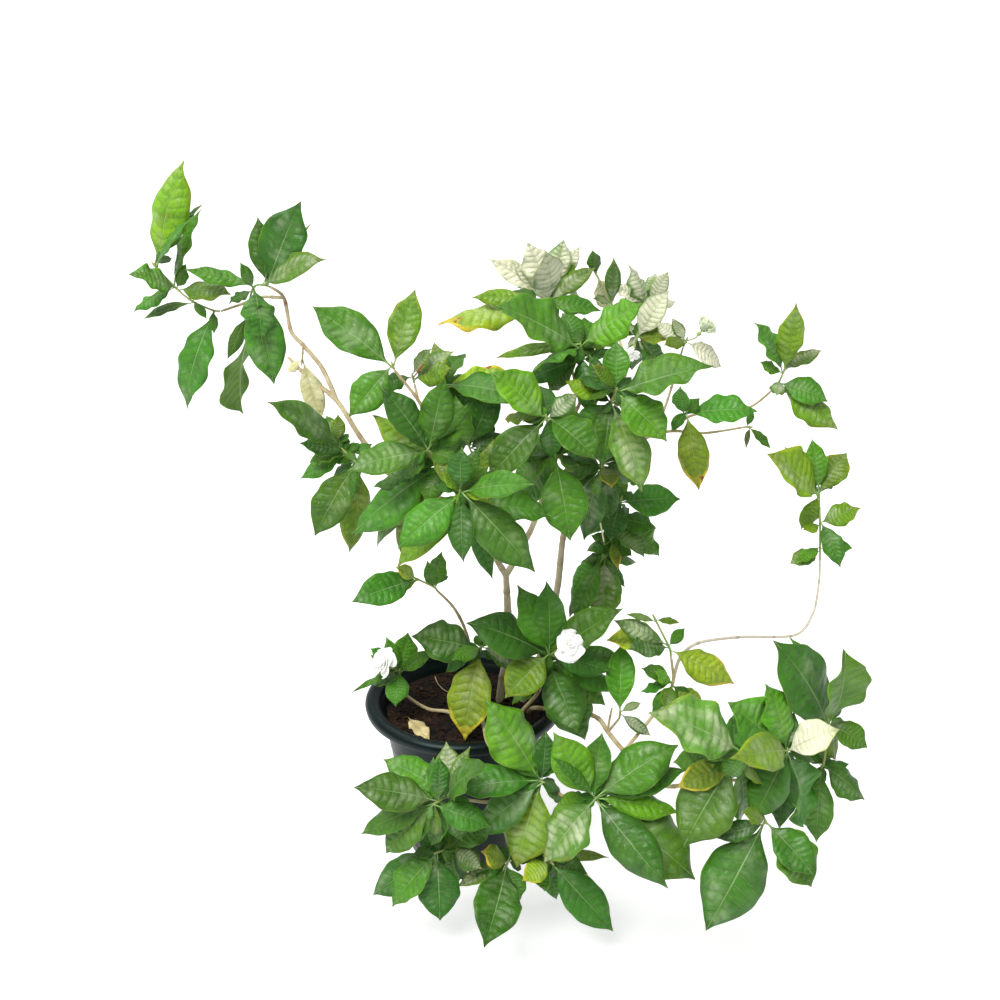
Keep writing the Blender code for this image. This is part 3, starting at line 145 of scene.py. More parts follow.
# Leafy shoots. Each grows on a limb's end; its nodes are (place, leaves), and a leaf is (tip across,
# tip down, width as seen, cm the tip lies nearer than its node, kind). Kinds: d dark, m mid green,
# b bright, l lime, y yellowing, p pale, v cream between its veins, c cream.
shoots = {
    "far_left": ("stem_tall", "farBranch", [
        ((212, 310, -28), [(184, 410, 32, 3, "d"), (214, 334, 9, 2, "m")]),
        ((192, 301, -28.3), [(143, 319, 9, 0, "m"), (207, 319, 9, 1, "m")]),
        ((176, 288, -28.6), [(231, 294, 20, 4, "l"), (129, 273, 22, 1, "m"), (133, 311, 12, 3, "d")]),
        ((155, 266, -29), [(183, 159, 36, -2, "l"), (194, 216, 12, 1, "d"), (202, 203, 14, -3, "m"),
            (172, 258, 11, 2, "d")])]),
    "left_whorl": ("stem_tall", "secondBranch", [
        ((264, 285, -25), [(301, 201, 44, 1, "d"), (294, 217, 20, -5, "m"), (324, 258, 20, 3, "p"),
            (302, 250, 16, -6, "m"), (311, 222, 10, -8, "p")]),
        ((253, 288, -24.5), [(184, 269, 16, 0, "d"), (262, 342, 42, 5, "d"), (274, 386, 38, 1.5, "d")]),
        ((247, 318, -24), [(227, 360, 14, 1, "m")]),
        ((247, 340, -23.5), [(242, 414, 38, 1, "m")])]),
    "withered_leaf": ("stem_tall", "witheredSpur", [
        ((302, 361, -18), [(322, 422, 22, 1, "c"), (287, 372, 9, 0, "c")])]),
    "left_mid": ("stem_tall", "leftMidSpur", [
        ((356, 462, -6), [(350, 554, 30, 0, "l"), (314, 537, 36, 3, "m"), (353, 500, 9, 4, "m")]),
        ((345, 452, -7), [(300, 479, 18, 0, "d"), (299, 443, 16, 2, "d")]),
        ((337, 442, -8), [(268, 401, 30, 1, "m"), (338, 414, 14, 0, "l")])]),
    "upper_left": ("stem_tall", "upperLeft", [
        ((393, 366, -2), [(312, 306, 38, 2, "m"), (415, 288, 32, -2, "l"), (349, 417, 35, 4, "m")])]),
    "upper_left_low": ("stem_tall", "upperLeftSpur", [
        ((413, 378, -5), [(454, 350, 20, -2, "p"), (452, 368, 22, 2, "l"), (377, 387, 16, 1, "d")])]),
    "upper_mid": ("stem_tall", "upperMidSpur", [
        ((442, 386, -8), [(517, 373, 22, 0, "y"), (466, 352, 18, -4, "d"), (536, 402, 28, -1, "d"),
            (492, 424, 26, -2, "d")])]),
    "left_rosette": ("stem_tall", "leftRosette", [
        ((438, 466, 5.5), [(426, 504, 24, 4, "m"), (350, 535, 38, 2, "d"), (373, 548, 22, -3, "m"),
            (372, 414, 28, -5, "l")]),
        ((429, 451, 8), [(346, 471, 32, 2, "m"), (380, 386, 30, 0, "d"), (445, 377, 34, 2, "b"),
            (470, 402, 18, -3, "m"), (457, 462, 18, 3, "d")])]),
    "centre_back": ("stem_tall", "centreBack", [
        ((469, 446, -4), [(452, 382, 30, -2, "m"), (496, 382, 30, 0, "d"), (514, 446, 26, 1, "d"),
            (414, 432, 26, -2, "d")])]),
    "front_rosette": ("stem_tall", "frontRosette", [
        ((469, 505, 11), [(394, 568, 26, 1, "l"), (493, 580, 20, 2, "d"), (553, 516, 30, -1, "d"),
            (494, 438, 14, -3, "l")]),
        ((461, 492, 14), [(397, 549, 38, 3, "d"), (463, 563, 26, 4, "d"), (536, 573, 42, 4, "m"),
            (462, 447, 30, 0, "d"), (499, 493, 14, 3, "l"), (535, 484, 24, 1, "m")])]),
    "centre": ("stem_tall", "centre", [
        ((555, 455, 6), [(570, 542, 44, 4, "m"), (511, 480, 22, -1, "d")]),
        ((547, 419, 8), [(491, 371, 40, 2, "b"), (578, 393, 28, -1, "p"), (487, 481, 34, 3, "m"),
            (597, 460, 34, 4, "b"), (540, 385, 20, -5, "d")])]),
    "upper": ("stem_tall", "upper", [
        ((582, 356, -6), [(522, 382, 20, 0, "d"), (584, 316, 24, -3, "b"), (592, 418, 24, -1, "d")]),
        ((581, 347, -6), [(494, 304, 45, 4, "d"), (520, 377, 36, 4, "d"), (643, 302, 36, 3, "b"),
            (494, 358, 12, -2, "l")])]),
    "top_left": ("stem_tall", "topLeft", [
        ((541, 305, -12.5), [(436, 325, 26, 2, "y"), (488, 305, 16, -2, "d"), (602, 311, 18, -1, "m"),
            (512, 290, 16, -3, "m")])]),
    "top_back": ("stem_tall", "topBack", [
        ((548, 300, -19), [(512, 261, 12, -1, "c"), (527, 241, 28, -3, "v"), (546, 251, 30, 0, "v"),
            (489, 259, 20, -2, "c"), (596, 267, 18, -2, "p")]),
        ((556, 285, -21), [(564, 239, 24, -1, "v"), (576, 262, 12, 1, "l"), (580, 246, 16, -4, "v")])]),
    "crown": ("stem_right", "crown", [
        ((611, 402, 2.5), [(601, 468, 30, 4, "m"), (643, 493, 36, 3, "p"), (589, 354, 16, -3, "d"),
            (571, 446, 28, -2, "d")]),
        ((616, 391, 4), [(714, 366, 38, 2, "m"), (668, 441, 50, 4, "b"), (617, 340, 26, -2, "m"),
            (592, 364, 12, 0, "l")])]),
    "right_under": ("stem_right", "under", [
        ((603, 467, 0.5), [(584, 541, 26, -1, "d"), (612, 488, 20, 2, "y"), (635, 481, 20, 0, "d"),
            (552, 492, 24, -2, "d"), (574, 420, 22, -2, "d"), (643, 484, 18, -3, "m"),
            (609, 520, 22, -3, "d")])]),
    "top_right": ("stem_right", "topRight", [
        ((637, 337, -20), [(669, 290, 26, -1, "v"), (675, 337, 24, 2, "y"), (632, 371, 24, 3, "d"),
            (664, 376, 22, -1, "m")]),
        ((648, 305, -22), [(629, 264, 24, 0, "v"), (655, 273, 15, -1, "v"), (669, 271, 17, -2, "v"),
            (612, 286, 18, 2, "v")])]),
    "top_back_right": ("stem_right", "topBackRight", [
        ((611, 302, -22), [(614, 257, 16, 0, "p"), (593, 298, 14, 1, "p")]),
        ((596, 274, -23.5), [(609, 309, 22, 3, "c"), (592, 250, 14, -1, "m")])]),
    "right_whorl": ("stem_right", "rightWhorl", [
        ((686, 413, -11.5), [(680, 386, 18, 0, "d"), (758, 411, 27, 1, "d"), (699, 491, 30, 3, "y"),
            (671, 432, 11, 1, "d")])]),
    "right_twigs": ("stem_right", "right", [
        ((749, 427, -17.3), [(753, 410, 7, 0, "d"), (771, 449, 8, 1, "m"), (746, 449, 5, 2, "p")])]),
    "far_right": ("stem_right", "farRight", [
        ((779, 382, -19.7), [(838, 430, 26, 3, "l"), (829, 401, 26, 2, "d"), (777, 395, 20, 4, "p")]),
        ((784, 371, -20), [(755, 322, 24, -1, "m"), (797, 303, 26, 1, "l"), (822, 350, 15, -1, "p"),
            (786, 341, 6, -3, "p")])]),
    "bud_spray": ("stem_right", "bud", [
        ((686, 341, -15.5), [(655, 322, 14, -2, "v"), (723, 368, 18, -1, "v"),
            (664, 345, 14, 1, "l")])]),
    "right_mid": ("stem_right", "side", [
        ((611, 541, -7), [(586, 551, 16, 1, "p"), (632, 556, 24, 1, "m"), (618, 570, 10, 2, "y")]),
        ((616, 520, -6), [(661, 556, 36, 0, "m"), (645, 557, 28, 3, "m")]),
        ((621, 500, -5.5), [(681, 499, 32, 1, "d"), (610, 541, 24, 3, "d"), (597, 480, 24, -2, "d")])]),
    "right_low_mid": ("stem_right", "sideSpur", [
        ((604, 556, -5), [(604, 622, 36, 3, "p"), (571, 595, 26, 0, "d"), (574, 622, 20, -1, "d"),
            (625, 588, 9, 0, "d")])]),
    "low_left_twig": ("stem_low_left", "main", [
        ((434, 587, 3), [(442, 551, 18, 1, "m"), (427, 560, 14, 3, "d"), (447, 573, 10, 1, "d")]),
        ((417, 579, 3.8), [(383, 587, 26, 1, "y"), (351, 602, 32, -1, "d")])]),
    "pot_top": ("stem_front", "main", [
        ((548, 662, 7), [(586, 741, 44, 4, "b"), (578, 735, 40, -1, "d"), (622, 692, 22, 3, "d"),
            (512, 705, 26, 1, "m")]),
        ((549, 655, 8.5), [(466, 622, 40, 1, "m"), (518, 584, 34, -1, "m"), (547, 581, 34, -4, "d"),
            (504, 698, 42, 5, "l"), (557, 628, 14, -1, "l"), (623, 608, 34, 1, "m"),
            (613, 672, 24, 1, "d")])]),
    "pot_left": ("stem_low_left", "potLeft", [
        ((481, 648, 4), [(411, 636, 42, 1, "m"), (464, 742, 42, 4, "y"), (452, 660, 16, 0, "m"),
            (521, 664, 22, -2, "p")])]),
    "pot_spray": ("stem_small", "main", [
        ((400, 672, 0.5), [(408, 632, 26, -2, "m"), (435, 650, 14, 2, "b"), (395, 707, 32, 5, "d"),
            (350, 693, 6, 1, "m"), (370, 655, 12, -1, "d")])]),
    "side_twig": ("stem_over_right", "sideTwig", [
        ((669, 647, 10), [(735, 684, 30, 2, "y"), (628, 648, 24, 2, "d"), (685, 628, 12, 0, "b"),
            (606, 639, 34, 0, "y")]),
        ((655, 619, 9), [(625, 614, 7, 1, "l"), (680, 623, 7, 1, "l")])]),
    "side_low": ("stem_over_right", "sideLow", [
        ((672, 684, 15), [(704, 715, 24, 1, "y"), (664, 709, 16, 3, "l"), (655, 671, 17, 1, "b"),
            (640, 692, 11, 1, "d")])]),
    "side_leaf": ("stem_over_right", "leafTwig", [
        ((620, 713, 14), [(622, 642, 28, 1, "m"), (651, 736, 12, 1, "p"), (641, 703, 8, -2, "p")])]),
    "right_edge": ("stem_over_right", "longThin", [
        ((820, 548, -9.5), [(790, 564, 22, 2, "p"), (853, 548, 22, 1, "m"), (797, 563, 12, 4, "b")]),
        ((820, 522, -10), [(803, 530, 16, 2, "l"), (861, 508, 26, 1, "l"), (841, 568, 20, 3, "m")]),
        ((819, 495, -10.3), [(767, 454, 34, 1, "l"), (785, 446, 30, -2, "b"), (847, 452, 28, 0, "l"),
            (812, 438, 20, -4, "m")])]),
    "low_centre_a": ("stem_over_front", "centreA", [
        ((541, 781, 24), [(486, 699, 48, -2, "m"), (449, 791, 32, 1, "d"), (516, 869, 50, 3, "l"),
            (474, 836, 34, 1, "d")])]),
    "low_centre_b": ("stem_over_front", "centreB", [
        ((595, 798, 30), [(553, 732, 40, -2, "b"), (602, 732, 28, -4, "d"), (679, 744, 44, 0, "m"),
            (544, 863, 48, 2, "p"), (698, 880, 64, 5, "b"), (668, 889, 44, 2, "d"),
            (551, 756, 14, -5, "d")])]),
    "low_centre_c": ("stem_over_front", "lowCentre", [
        ((541, 853, 23.5), [(545, 892, 22, 3, "b"), (603, 898, 18, 0, "y"), (610, 857, 12, -1, "l"),
            (588, 874, 24, 1, "d")]),
        ((551, 862, 25.5), [(614, 932, 38, 2, "d"), (522, 881, 26, 3, "y")])]),
    "low_left_a": ("stem_over_front", "lowLeft", [
        ((449, 796, 25), [(382, 758, 32, -1, "m"), (446, 741, 26, -2, "p"), (470, 746, 16, -3, "p"),
            (489, 764, 26, -1, "b")]),
        ((436, 803, 26.5), [(353, 787, 36, 1, "m"), (359, 834, 26, -1, "d"), (385, 854, 32, 4, "m"),
            (492, 827, 28, 3, "d"), (439, 756, 20, 0, "d")])]),
    "low_left_b": ("stem_over_front", "lowLeftB", [
        ((449, 848, 23.2), [(482, 869, 28, 3, "p"), (426, 833, 20, -2, "d"), (496, 812, 30, -3, "d")]),
        ((438, 852, 24.5), [(371, 896, 34, 0, "d"), (391, 907, 32, 3, "d"), (440, 922, 42, 4, "d")])]),
    "low_left_c": ("stem_over_front", "lowLeftC", [
        ((507, 864, 24), [(456, 887, 15, 0, "p"), (482, 851, 22, 3, "y"), (484, 948, 46, 4, "d"),
            (494, 894, 6, 5, "l"), (530, 806, 34, -2, "d")])]),
    "low_right_a": ("stem_over_right", "lowRightA", [
        ((737, 761, 36), [(683, 848, 66, 4, "m"), (676, 788, 28, -2, "y"), (702, 756, 18, -4, "d"),
            (741, 822, 26, -3, "d")]),
        ((743, 751, 38), [(649, 711, 54, 1, "p"), (757, 722, 18, -2, "m")])]),
    "low_right_b": ("stem_over_right", "lowRightB", [
        ((766, 822, 39), [(705, 932, 60, 3, "m"), (813, 888, 40, 3, "b"), (814, 876, 34, -1, "d"),
            (713, 838, 20, 0, "d"), (742, 812, 16, 2, "l")])]),
    "low_right_c": ("stem_over_right", "lowRightC", [
        ((787, 751, 32), [(728, 702, 52, 1, "m"), (767, 683, 40, -2, "b"), (731, 758, 38, 3, "l"),
            (751, 823, 40, 1, "d"), (840, 729, 38, 2, "c"), (806, 826, 40, -2, "d"),
            (779, 830, 30, -5, "d")])]),
    "right_low": ("stem_over_right", "farLow", [
        ((823, 766, 26.5), [(800, 811, 32, 4, "m"), (816, 843, 30, 2, "d"), (866, 800, 36, 2, "m")]),
        ((828, 724, 25.5), [(774, 640, 50, 0, "d"), (846, 650, 34, -3, "m"), (868, 748, 38, 2, "m"),
            (791, 636, 26, -4, "m")])]),
}

# More leaves inside the crown, where it is dense: (node, leaf) for each shoot
innerLeaves = {
    "far_left": [(2, (186, 264, 14, 1, "m")), (3, (178, 226, 11, 0, "m")), (2, (200, 207, 16, 0, "m"))],
    "left_whorl": [(0, (258, 216, 26, -2, "d")), (0, (283, 232, 22, -4, "l")),
        (1, (240, 262, 12, 2, "m")), (1, (228, 304, 14, 2, "m")), (2, (262, 303, 12, 2, "d"))],
    "left_mid": [(1, (309, 463, 18, 1, "m")), (0, (332, 478, 16, -2, "d"))],
    "upper_left_low": [(0, (431, 348, 18, 0, "p"))],
    "left_rosette": [(0, (372, 487, 22, -2, "d")), (1, (404, 474, 20, -1, "m")),
        (0, (398, 556, 20, -3, "l"))],
    "front_rosette": [(1, (480, 446, 16, -2, "m")), (1, (443, 472, 16, -1, "l")),
        (0, (470, 470, 18, -3, "d"))],
    "centre": [(0, (523, 505, 26, -3, "d")), (1, (503, 419, 18, -3, "l")),
        (1, (572, 428, 18, -3, "d"))],
    "crown": [(0, (566, 462, 24, -4, "d")), (1, (640, 398, 22, -2, "d")), (1, (590, 402, 18, -3, "d"))],
    "right_under": [(0, (560, 474, 20, -1, "m"))],
    "upper": [(1, (562, 312, 24, -4, "d")), (0, (548, 392, 22, -1, "m"))],
    "right_mid": [(1, (657, 528, 26, 1, "m"))],
    "pot_top": [(1, (630, 662, 26, -1, "d")), (0, (606, 706, 26, 1, "m")),
        (1, (590, 634, 22, -3, "b"))],
    "top_left": [(0, (471, 297, 18, 1, "l"))],
    "right_whorl": [(0, (700, 398, 16, 0, "m"))],
    "right_low_mid": [(0, (568, 618, 18, -2, "m"))],
    "side_twig": [(0, (613, 620, 20, 0, "p"))],
    "side_low": [(0, (641, 668, 18, -1, "m")), (0, (652, 712, 14, 1, "m")),
        (0, (690, 704, 14, 0, "m"))],
    "low_left_twig": [(1, (396, 567, 16, 1, "y"))],
    "pot_spray": [(0, (370, 648, 18, -1, "d")), (0, (371, 684, 16, -1, "m")),
        (0, (386, 636, 14, -2, "m"))],
    "low_centre_a": [(0, (546, 730, 22, -3, "d")), (0, (500, 742, 24, -4, "m"))],
    "low_centre_b": [(0, (552, 812, 22, -3, "m")), (0, (680, 813, 28, 1, "b")),
        (0, (688, 768, 30, -2, "m"))],
    "low_centre_c": [(0, (557, 901, 18, 1, "d"))],
    "low_left_a": [(0, (431, 846, 24, 0, "d")), (0, (462, 842, 22, 1, "d")),
        (1, (410, 846, 18, 0, "m"))],
    "low_left_b": [(0, (417, 838, 20, -1, "d")), (0, (424, 868, 20, 0, "d")),
        (0, (458, 884, 20, -1, "m"))],
    "low_left_c": [(0, (521, 900, 24, 2, "m")), (0, (470, 872, 20, -1, "d")),
        (0, (538, 850, 20, -1, "d"))],
    "low_right_a": [(0, (683, 752, 20, -3, "m")), (0, (694, 782, 24, -4, "m")),
        (0, (672, 762, 30, -3, "m"))],
    "far_right": [(1, (760, 362, 16, 0, "m"))],
    "bud_spray": [(0, (672, 318, 12, -2, "p"))],
    "right_edge": [(2, (801, 530, 18, -1, "l"))],
}
# Flowers: (shoot, node, stalk's end, middle of the bloom, radius, kind)
blooms = {
    "bloom_front": ("pot_top", 1, (560, 651, 12), (570, 646, 15), 0.0235, "open"),
    "bloom_side": ("pot_spray", 0, (394, 668, 1.2), (385, 663, 2), 0.0230, "cup"),
    "bloom_small": ("top_right", 0, (634, 346, -17), (632, 353, -15.5), 0.0115, "small"),
    "bud_opening": ("bud_spray", 0, (697, 336, -15.5), (705, 327, -15.5), 0.0150, "bud"),
    "bud_slender": ("right_mid", 0, (604, 542, -5), (598, 511, -4.5), 0.0040, "slender"),
}

# How the shoots stand on the wood; the same numbers place the frame's solids
fit = {"gap": 0.0003, "soilTop": 0.235, "soilBump": 0.0018, "holeDepth": 0.045, "collar": 0.008,
       "nodeSpread": 0.003, "twigRadius": 0.0015, "petiole": 0.0011, "blade": 0.0008, "seed": 11,
       "footRise": 0.003, "sink": 0.35, "twigShare": 0.94, "least": 0.002}


def sightLine(across, down):
    ray = ahead + rightward * (across - camera["middle"]) / eyeReach
    return ray + above * (camera["middle"] - down) / eyeReach


# The place at a spot of the photograph, so many cm nearer than the pot's middle
def seen(across, down, near):
    ray = sightLine(across, down)
    return eye + ray * ((-near / 100 - eye.y) / ray.y)


def seenAtHeight(across, down, height):
    ray = sightLine(across, down)
    return eye + ray * ((height - eye.z) / ray.z)


def pixelSize(point):
    return (point - eye).dot(ahead) / eyeReach


def limbPoints(stem, limb):
    spot, limbs = stems[stem]
    first, last, places = limbs[limb]
    points = [seen(*place) for place in places]
    if limb == next(iter(limbs)):
        foot = seenAtHeight(*spot, fit["soilTop"])
        foot.z += fit["soilBump"] + fit["footRise"]
        low = Vector((foot.x, foot.y, fit["soilTop"] - fit["holeDepth"] + fit["gap"]))
        points = [low, foot] + points
    else:
        sink = first / 1000 * fit["sink"]
        points[0] = points[0] - (points[1] - points[0]).normalized() * sink
    carried = [data for data in shoots.values() if data[:2] == (stem, limb)]
    if carried:
        firstNode = seen(*carried[0][2][0][0])
        reach = (firstNode - points[-1]).length
        collar = max(fit["least"], min(fit["collar"], reach - fit["nodeSpread"] * 1.5 - fit["least"]))
        points[-1] = points[-1] + (firstNode - points[-1]).normalized() * collar
    return points


def shootRadius(shoot):
    stem, limb, nodes = shoots[shoot]
    return max(fit["twigRadius"], stems[stem][1][limb][1] / 1000 * fit["twigShare"])


def twigPoints(shoot):
    stem, limb, nodes = shoots[shoot]
    before, end = limbPoints(stem, limb)[-2:]
    way = (seen(*nodes[0][0]) - end).normalized()
    tilt = way.cross((end - before).normalized()).length
    start = end + way * (fit["gap"] + shootRadius(shoot) * tilt * 1.1)
    return [start] + [seen(*place) for place, leaves in nodes]


def leafFoot(shoot, node, order, tip):
    points = twigPoints(shoot)
    spot = points[node + 1]
    shift = max((order % 4 - 1.5) * fit["nodeSpread"], fit["least"] - (spot - points[node]).length)
    axis = (spot - points[node]).normalized()
    if shift > 0 and node + 2 < len(points):
        axis = (points[node + 2] - spot).normalized()
    way = (tip - spot).normalized()
    out = way - axis * way.dot(axis)
    return spot + axis * shift + out * shootRadius(shoot) * 0.15


def clamped(value):
    return min(1, max(0, value))


def hermite(start, end, slope0, slope1, t):
    return (start * (2 * t ** 3 - 3 * t ** 2 + 1) + slope0 * (t ** 3 - 2 * t ** 2 + t)
            + end * (3 * t ** 2 - 2 * t ** 3) + slope1 * (t ** 3 - t ** 2))


# A smooth curve through (share, value) knots
def curveAt(knots, share):
    last = len(knots) - 1
    i = 0
    while i < last - 1 and share > knots[i + 1][0]:
        i += 1
    (x0, y0), (x1, y1) = knots[i], knots[i + 1]
    before, beyond = knots[max(i - 1, 0)], knots[min(i + 2, last)]
    span = x1 - x0
    slope0 = (y1 - before[1]) / (x1 - before[0]) * span
    slope1 = (beyond[1] - y0) / (beyond[0] - x0) * span
    return hermite(y0, y1, slope0, slope1, clamped((share - x0) / span))


leafOutline = ((0, 0.03), (0.07, 0.045), (0.12, 0.10), (0.20, 0.46), (0.35, 0.93), (0.50, 1.04),
               (0.66, 0.96), (0.80, 0.66), (0.90, 0.31), (0.96, 0.12), (1, 0.0))


# How a blade bends; a pair is the span that each leaf's own value is drawn from, in this order
bladeSpans = {"arch": (0.07, 0.15), "fold": (0.10, 0.34), "twist": (-0.5, 0.5), "waves": (2.4, 3.4),
              "phase": (0, math.tau), "wave": (0.02, 0.05)}
bladeLook = {"foot": 0.12, "steep": 0.25, "leastShare": 0.6, "widest": 0.60, "twistAt": 0.3,
             "sideShift": 1.3, "foldRate": 6, "footRate": 4, "tipRate": 5}


# The blade of a leaf between its foot and tip, as wide as it is seen from the camera
def leafBlade(base, tip, widthSeen, draw, roll=0, facing=None):
    run = tip - base
    length = run.length
    run.normalize()
    if facing is None:
        facing = Vector((draw.uniform(-0.35, 0.35), draw.uniform(-0.85, -0.3), 0.85)).normalized()
    face = facing - run * facing.dot(run)
    if face.length < bladeLook["steep"]:  # the leaf would show its edge alone
        face = -ahead - run * run.dot(-ahead) + above * 0.1
        face -= run * run.dot(face)
    face.normalize()
    face = Quaternion(run, math.radians(roll)) @ face
    sight = (base - eye).normalized()
    seenRun = (run - sight * run.dot(sight)).normalized()
    share = max(bladeLook["leastShare"], abs(run.cross(face).dot(sight.cross(seenRun))))
    width = min(widthSeen * pixelSize((base + tip) / 2) / share, length * bladeLook["widest"])
    drawn = {name: draw.uniform(*span) for name, span in bladeSpans.items()}
    return dict(drawn, base=base, tip=tip, face=face, length=length, width=width,
                least=fit["petiole"] / 2, outline=leafOutline, foot=bladeLook["foot"])


# A point of a blade's middle surface, the way that it faces there, and half its width
def bladePoint(blade, along, across):
    base, tip, face = blade["base"], blade["tip"], blade["face"]
    middle = (base + tip) / 2 + face * blade["arch"] * blade["length"]
    point = base * (1 - along) ** 2 + middle * 2 * along * (1 - along) + tip * along ** 2
    run = ((middle - base) * (1 - along) + (tip - middle) * along).normalized()
    normal = (face - run * face.dot(run)).normalized()
    normal = Quaternion(run, blade["twist"] * (along - bladeLook["twistAt"])) @ normal
    half = blade["width"] / 2 * curveAt(blade["outline"], along)
    half = max(half, blade["least"] * (1 - along) ** 0.5)
    shift = bladeLook["sideShift"] if across > 0 else 0
    wave = math.sin(math.tau * blade["waves"] * along + blade["phase"] + shift)
    beyond = along - blade["foot"]
    fold = blade["fold"] * clamped(beyond * bladeLook["foldRate"])
    ease = clamped(beyond * bladeLook["footRate"]) * min(1, (1 - along) * bladeLook["tipRate"])
    lift = half * abs(across) * fold + blade["wave"] * blade["width"] * across ** 2 * wave * ease
    return point + run.cross(normal) * half * across + normal * lift, normal, half


# Each leaf takes the shortening, roll and swing at which the frame's own leaf stands
search = {"shorter": (1, 0.8, 0.62), "rolls": (0, 25, -25, 50, -50), "near": 0.0003, "backNear": 0.0004,
          "swings": (0, 1, -1, 2, -2, 3, -3, 4.5, -4.5, 6, -6, 8, -8), "furthest": 0.004,
          "spots": ((0.35, -1), (0.35, 1), (0.66, -1), (0.66, 1), (1, 0)),
          "smallSpots": ((0.48, -1), (0.48, 1), (1, 0)), "small": 0.050}


def solidTree(node):
    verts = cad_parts[node].data.vertices
    tree = KDTree(len(verts))
    for i, vert in enumerate(verts):
        tree.insert(vert.co, i)
    tree.balance()
    return tree


trees = {shoot: solidTree(shoot) for shoot in shoots}


# How far the frame's own leaf lies from a blade, on average
def misfit(blade, tree):
    spots = search["smallSpots"] if blade["length"] < search["small"] else search["spots"]
    total = 0
    for along, across in spots:
        point, normal, half = bladePoint(blade, along, across)
        for side in (1, -1):
            total += min(search["furthest"], tree.find(point + normal * side * fit["blade"] / 2)[2])
    return total / len(spots) / 2


def photoLeaf(shoot, node, order, leaf, number):
    across, down, width, nearer, kind = leaf
    near = shoots[shoot][2][node][0][2] + nearer
    best, least = None, 1
    for shorter, roll, swing in product(search["shorter"], search["rolls"], search["swings"]):
        tip = seen(across, down, near + swing)
        base = leafFoot(shoot, node, order, tip)
        tip = base + (tip - base) * shorter
        blade = leafBlade(base, tip, width * shorter, random.Random(fit["seed"] * 1000 + number), roll)
        off = misfit(blade, trees[shoot])
        if off < least:
            best, least = blade, off
        if off < search["near"]:
            break
    return dict(best, kind=kind, number=number, off=least)


def findLeaves():
    found = {shoot: [] for shoot in shoots}
    number = 0
    for shoot, (stem, limb, nodes) in shoots.items():
        for node, (place, leaves) in enumerate(nodes):
            for order, leaf in enumerate(leaves):
                number += 1
                found[shoot].append(photoLeaf(shoot, node, order, leaf, number))
    return found


# A leaf that grows a given way from its node, with its width and kind drawn
def wayLeaf(shoot, node, order, way, length, facing, look, kinds, number, draw):
    base = leafFoot(shoot, node, order, seen(*shoots[shoot][2][node][0]) + way)
    blade = leafBlade(base, base + way * length, 1, draw, 0, facing.normalized())
    width = length * draw.uniform(*look["slim"])
    return dict(blade, width=width, kind=draw.choice(kinds), number=number)


backLeaf = {"length": (0.070, 0.105), "slim": (0.34, 0.44), "kinds": "ddm", "tries": 26, "seed": 5,
            "number": 1000}


# Leaves on the far side: the frame kept some of these seeded tries
def findBackLeaves(found):
    draw = random.Random(fit["seed"] + backLeaf["seed"])
    number = backLeaf["number"]
    for shoot, (stem, limb, nodes) in shoots.items():
        for attempt in range(backLeaf["tries"]):
            node = draw.randrange(len(nodes))
            turn = draw.uniform(-1.1, 1.1)
            way = Vector((math.sin(turn), math.cos(turn), draw.uniform(-0.75, 0.45))).normalized()
            length = draw.uniform(*backLeaf["length"])
            facing = way * -0.3 + Vector((draw.uniform(-0.3, 0.3), 0.35, 0.9))
            number += 1
            leaf = wayLeaf(shoot, node, attempt % 3 + 0.5, way, length, facing, backLeaf,
                           backLeaf["kinds"], number, draw)
            if misfit(leaf, trees[shoot]) < search["backNear"]:
                found[shoot].append(leaf)


# How many more small leaves stand behind the large ones at each of these shoots' nodes
innerCounts = {"centre_back": 6, "front_rosette": 5, "left_rosette": 4, "centre": 4, "crown": 4,
               "right_under": 5, "upper": 3, "upper_mid": 4, "right_low_mid": 3, "pot_top": 3,
               "pot_left": 2, "low_centre_a": 5, "low_centre_b": 4, "low_centre_c": 2, "low_left_a": 3,
               "low_left_b": 2, "low_left_c": 3, "low_right_a": 3, "low_right_c": 5, "right_low": 3,
               "top_right": 3, "top_back": 3, "right_mid": 2, "left_mid": 2}
innerLeaf = {"length": (0.042, 0.072), "slim": (0.36, 0.46), "behind": (0.25, 0.85), "kinds": "ddml",
             "topKinds": "pvdc", "seed": 9, "number": 3000}
# Young leaves close around each node
tuftLeaf = {"count": 5, "length": (0.022, 0.036), "slim": (0.50, 0.66), "behind": (0.10, 0.70),
            "kinds": "dddm", "topKinds": "vd", "seed": 14, "number": 4000}


# A ring of leaves behind each node of these shoots
def addRings(found, look):
    draw = random.Random(fit["seed"] + look["seed"])
    number = look["number"]
    for shoot in innerCounts:
        count = look.get("count", innerCounts[shoot])
        for node, i in product(range(len(shoots[shoot][2])), range(count)):
            number += 1
            angle = math.tau * (i + draw.uniform(0, 0.9)) / count
            way = rightward * math.cos(angle) + above * math.sin(angle)
            way = (way + ahead * draw.uniform(*look["behind"])).normalized()
            length = draw.uniform(*look["length"])
            facing = Vector((draw.uniform(-0.4, 0.4), -0.4, 0.8)) - way * 0.2
            kinds = look["topKinds"] if shoot.startswith("top") else look["kinds"]
            leaf = wayLeaf(shoot, node, i % 4, way, length, facing, look, kinds, number, draw)
            found[shoot].append(leaf)


def addInnerLeaves(found):
    addRings(found, innerLeaf)
    addRings(found, tuftLeaf)
    number = 2000
    for shoot, leaves in innerLeaves.items():
        for node, (across, down, width, nearer, kind) in leaves:
            number += 1
            tip = seen(across, down, shoots[shoot][2][node][0][2] + nearer)
            base = leafFoot(shoot, node, number % 4, tip)
            blade = leafBlade(base, tip, width, random.Random(number))
            found[shoot].append(dict(blade, kind=kind, number=number))


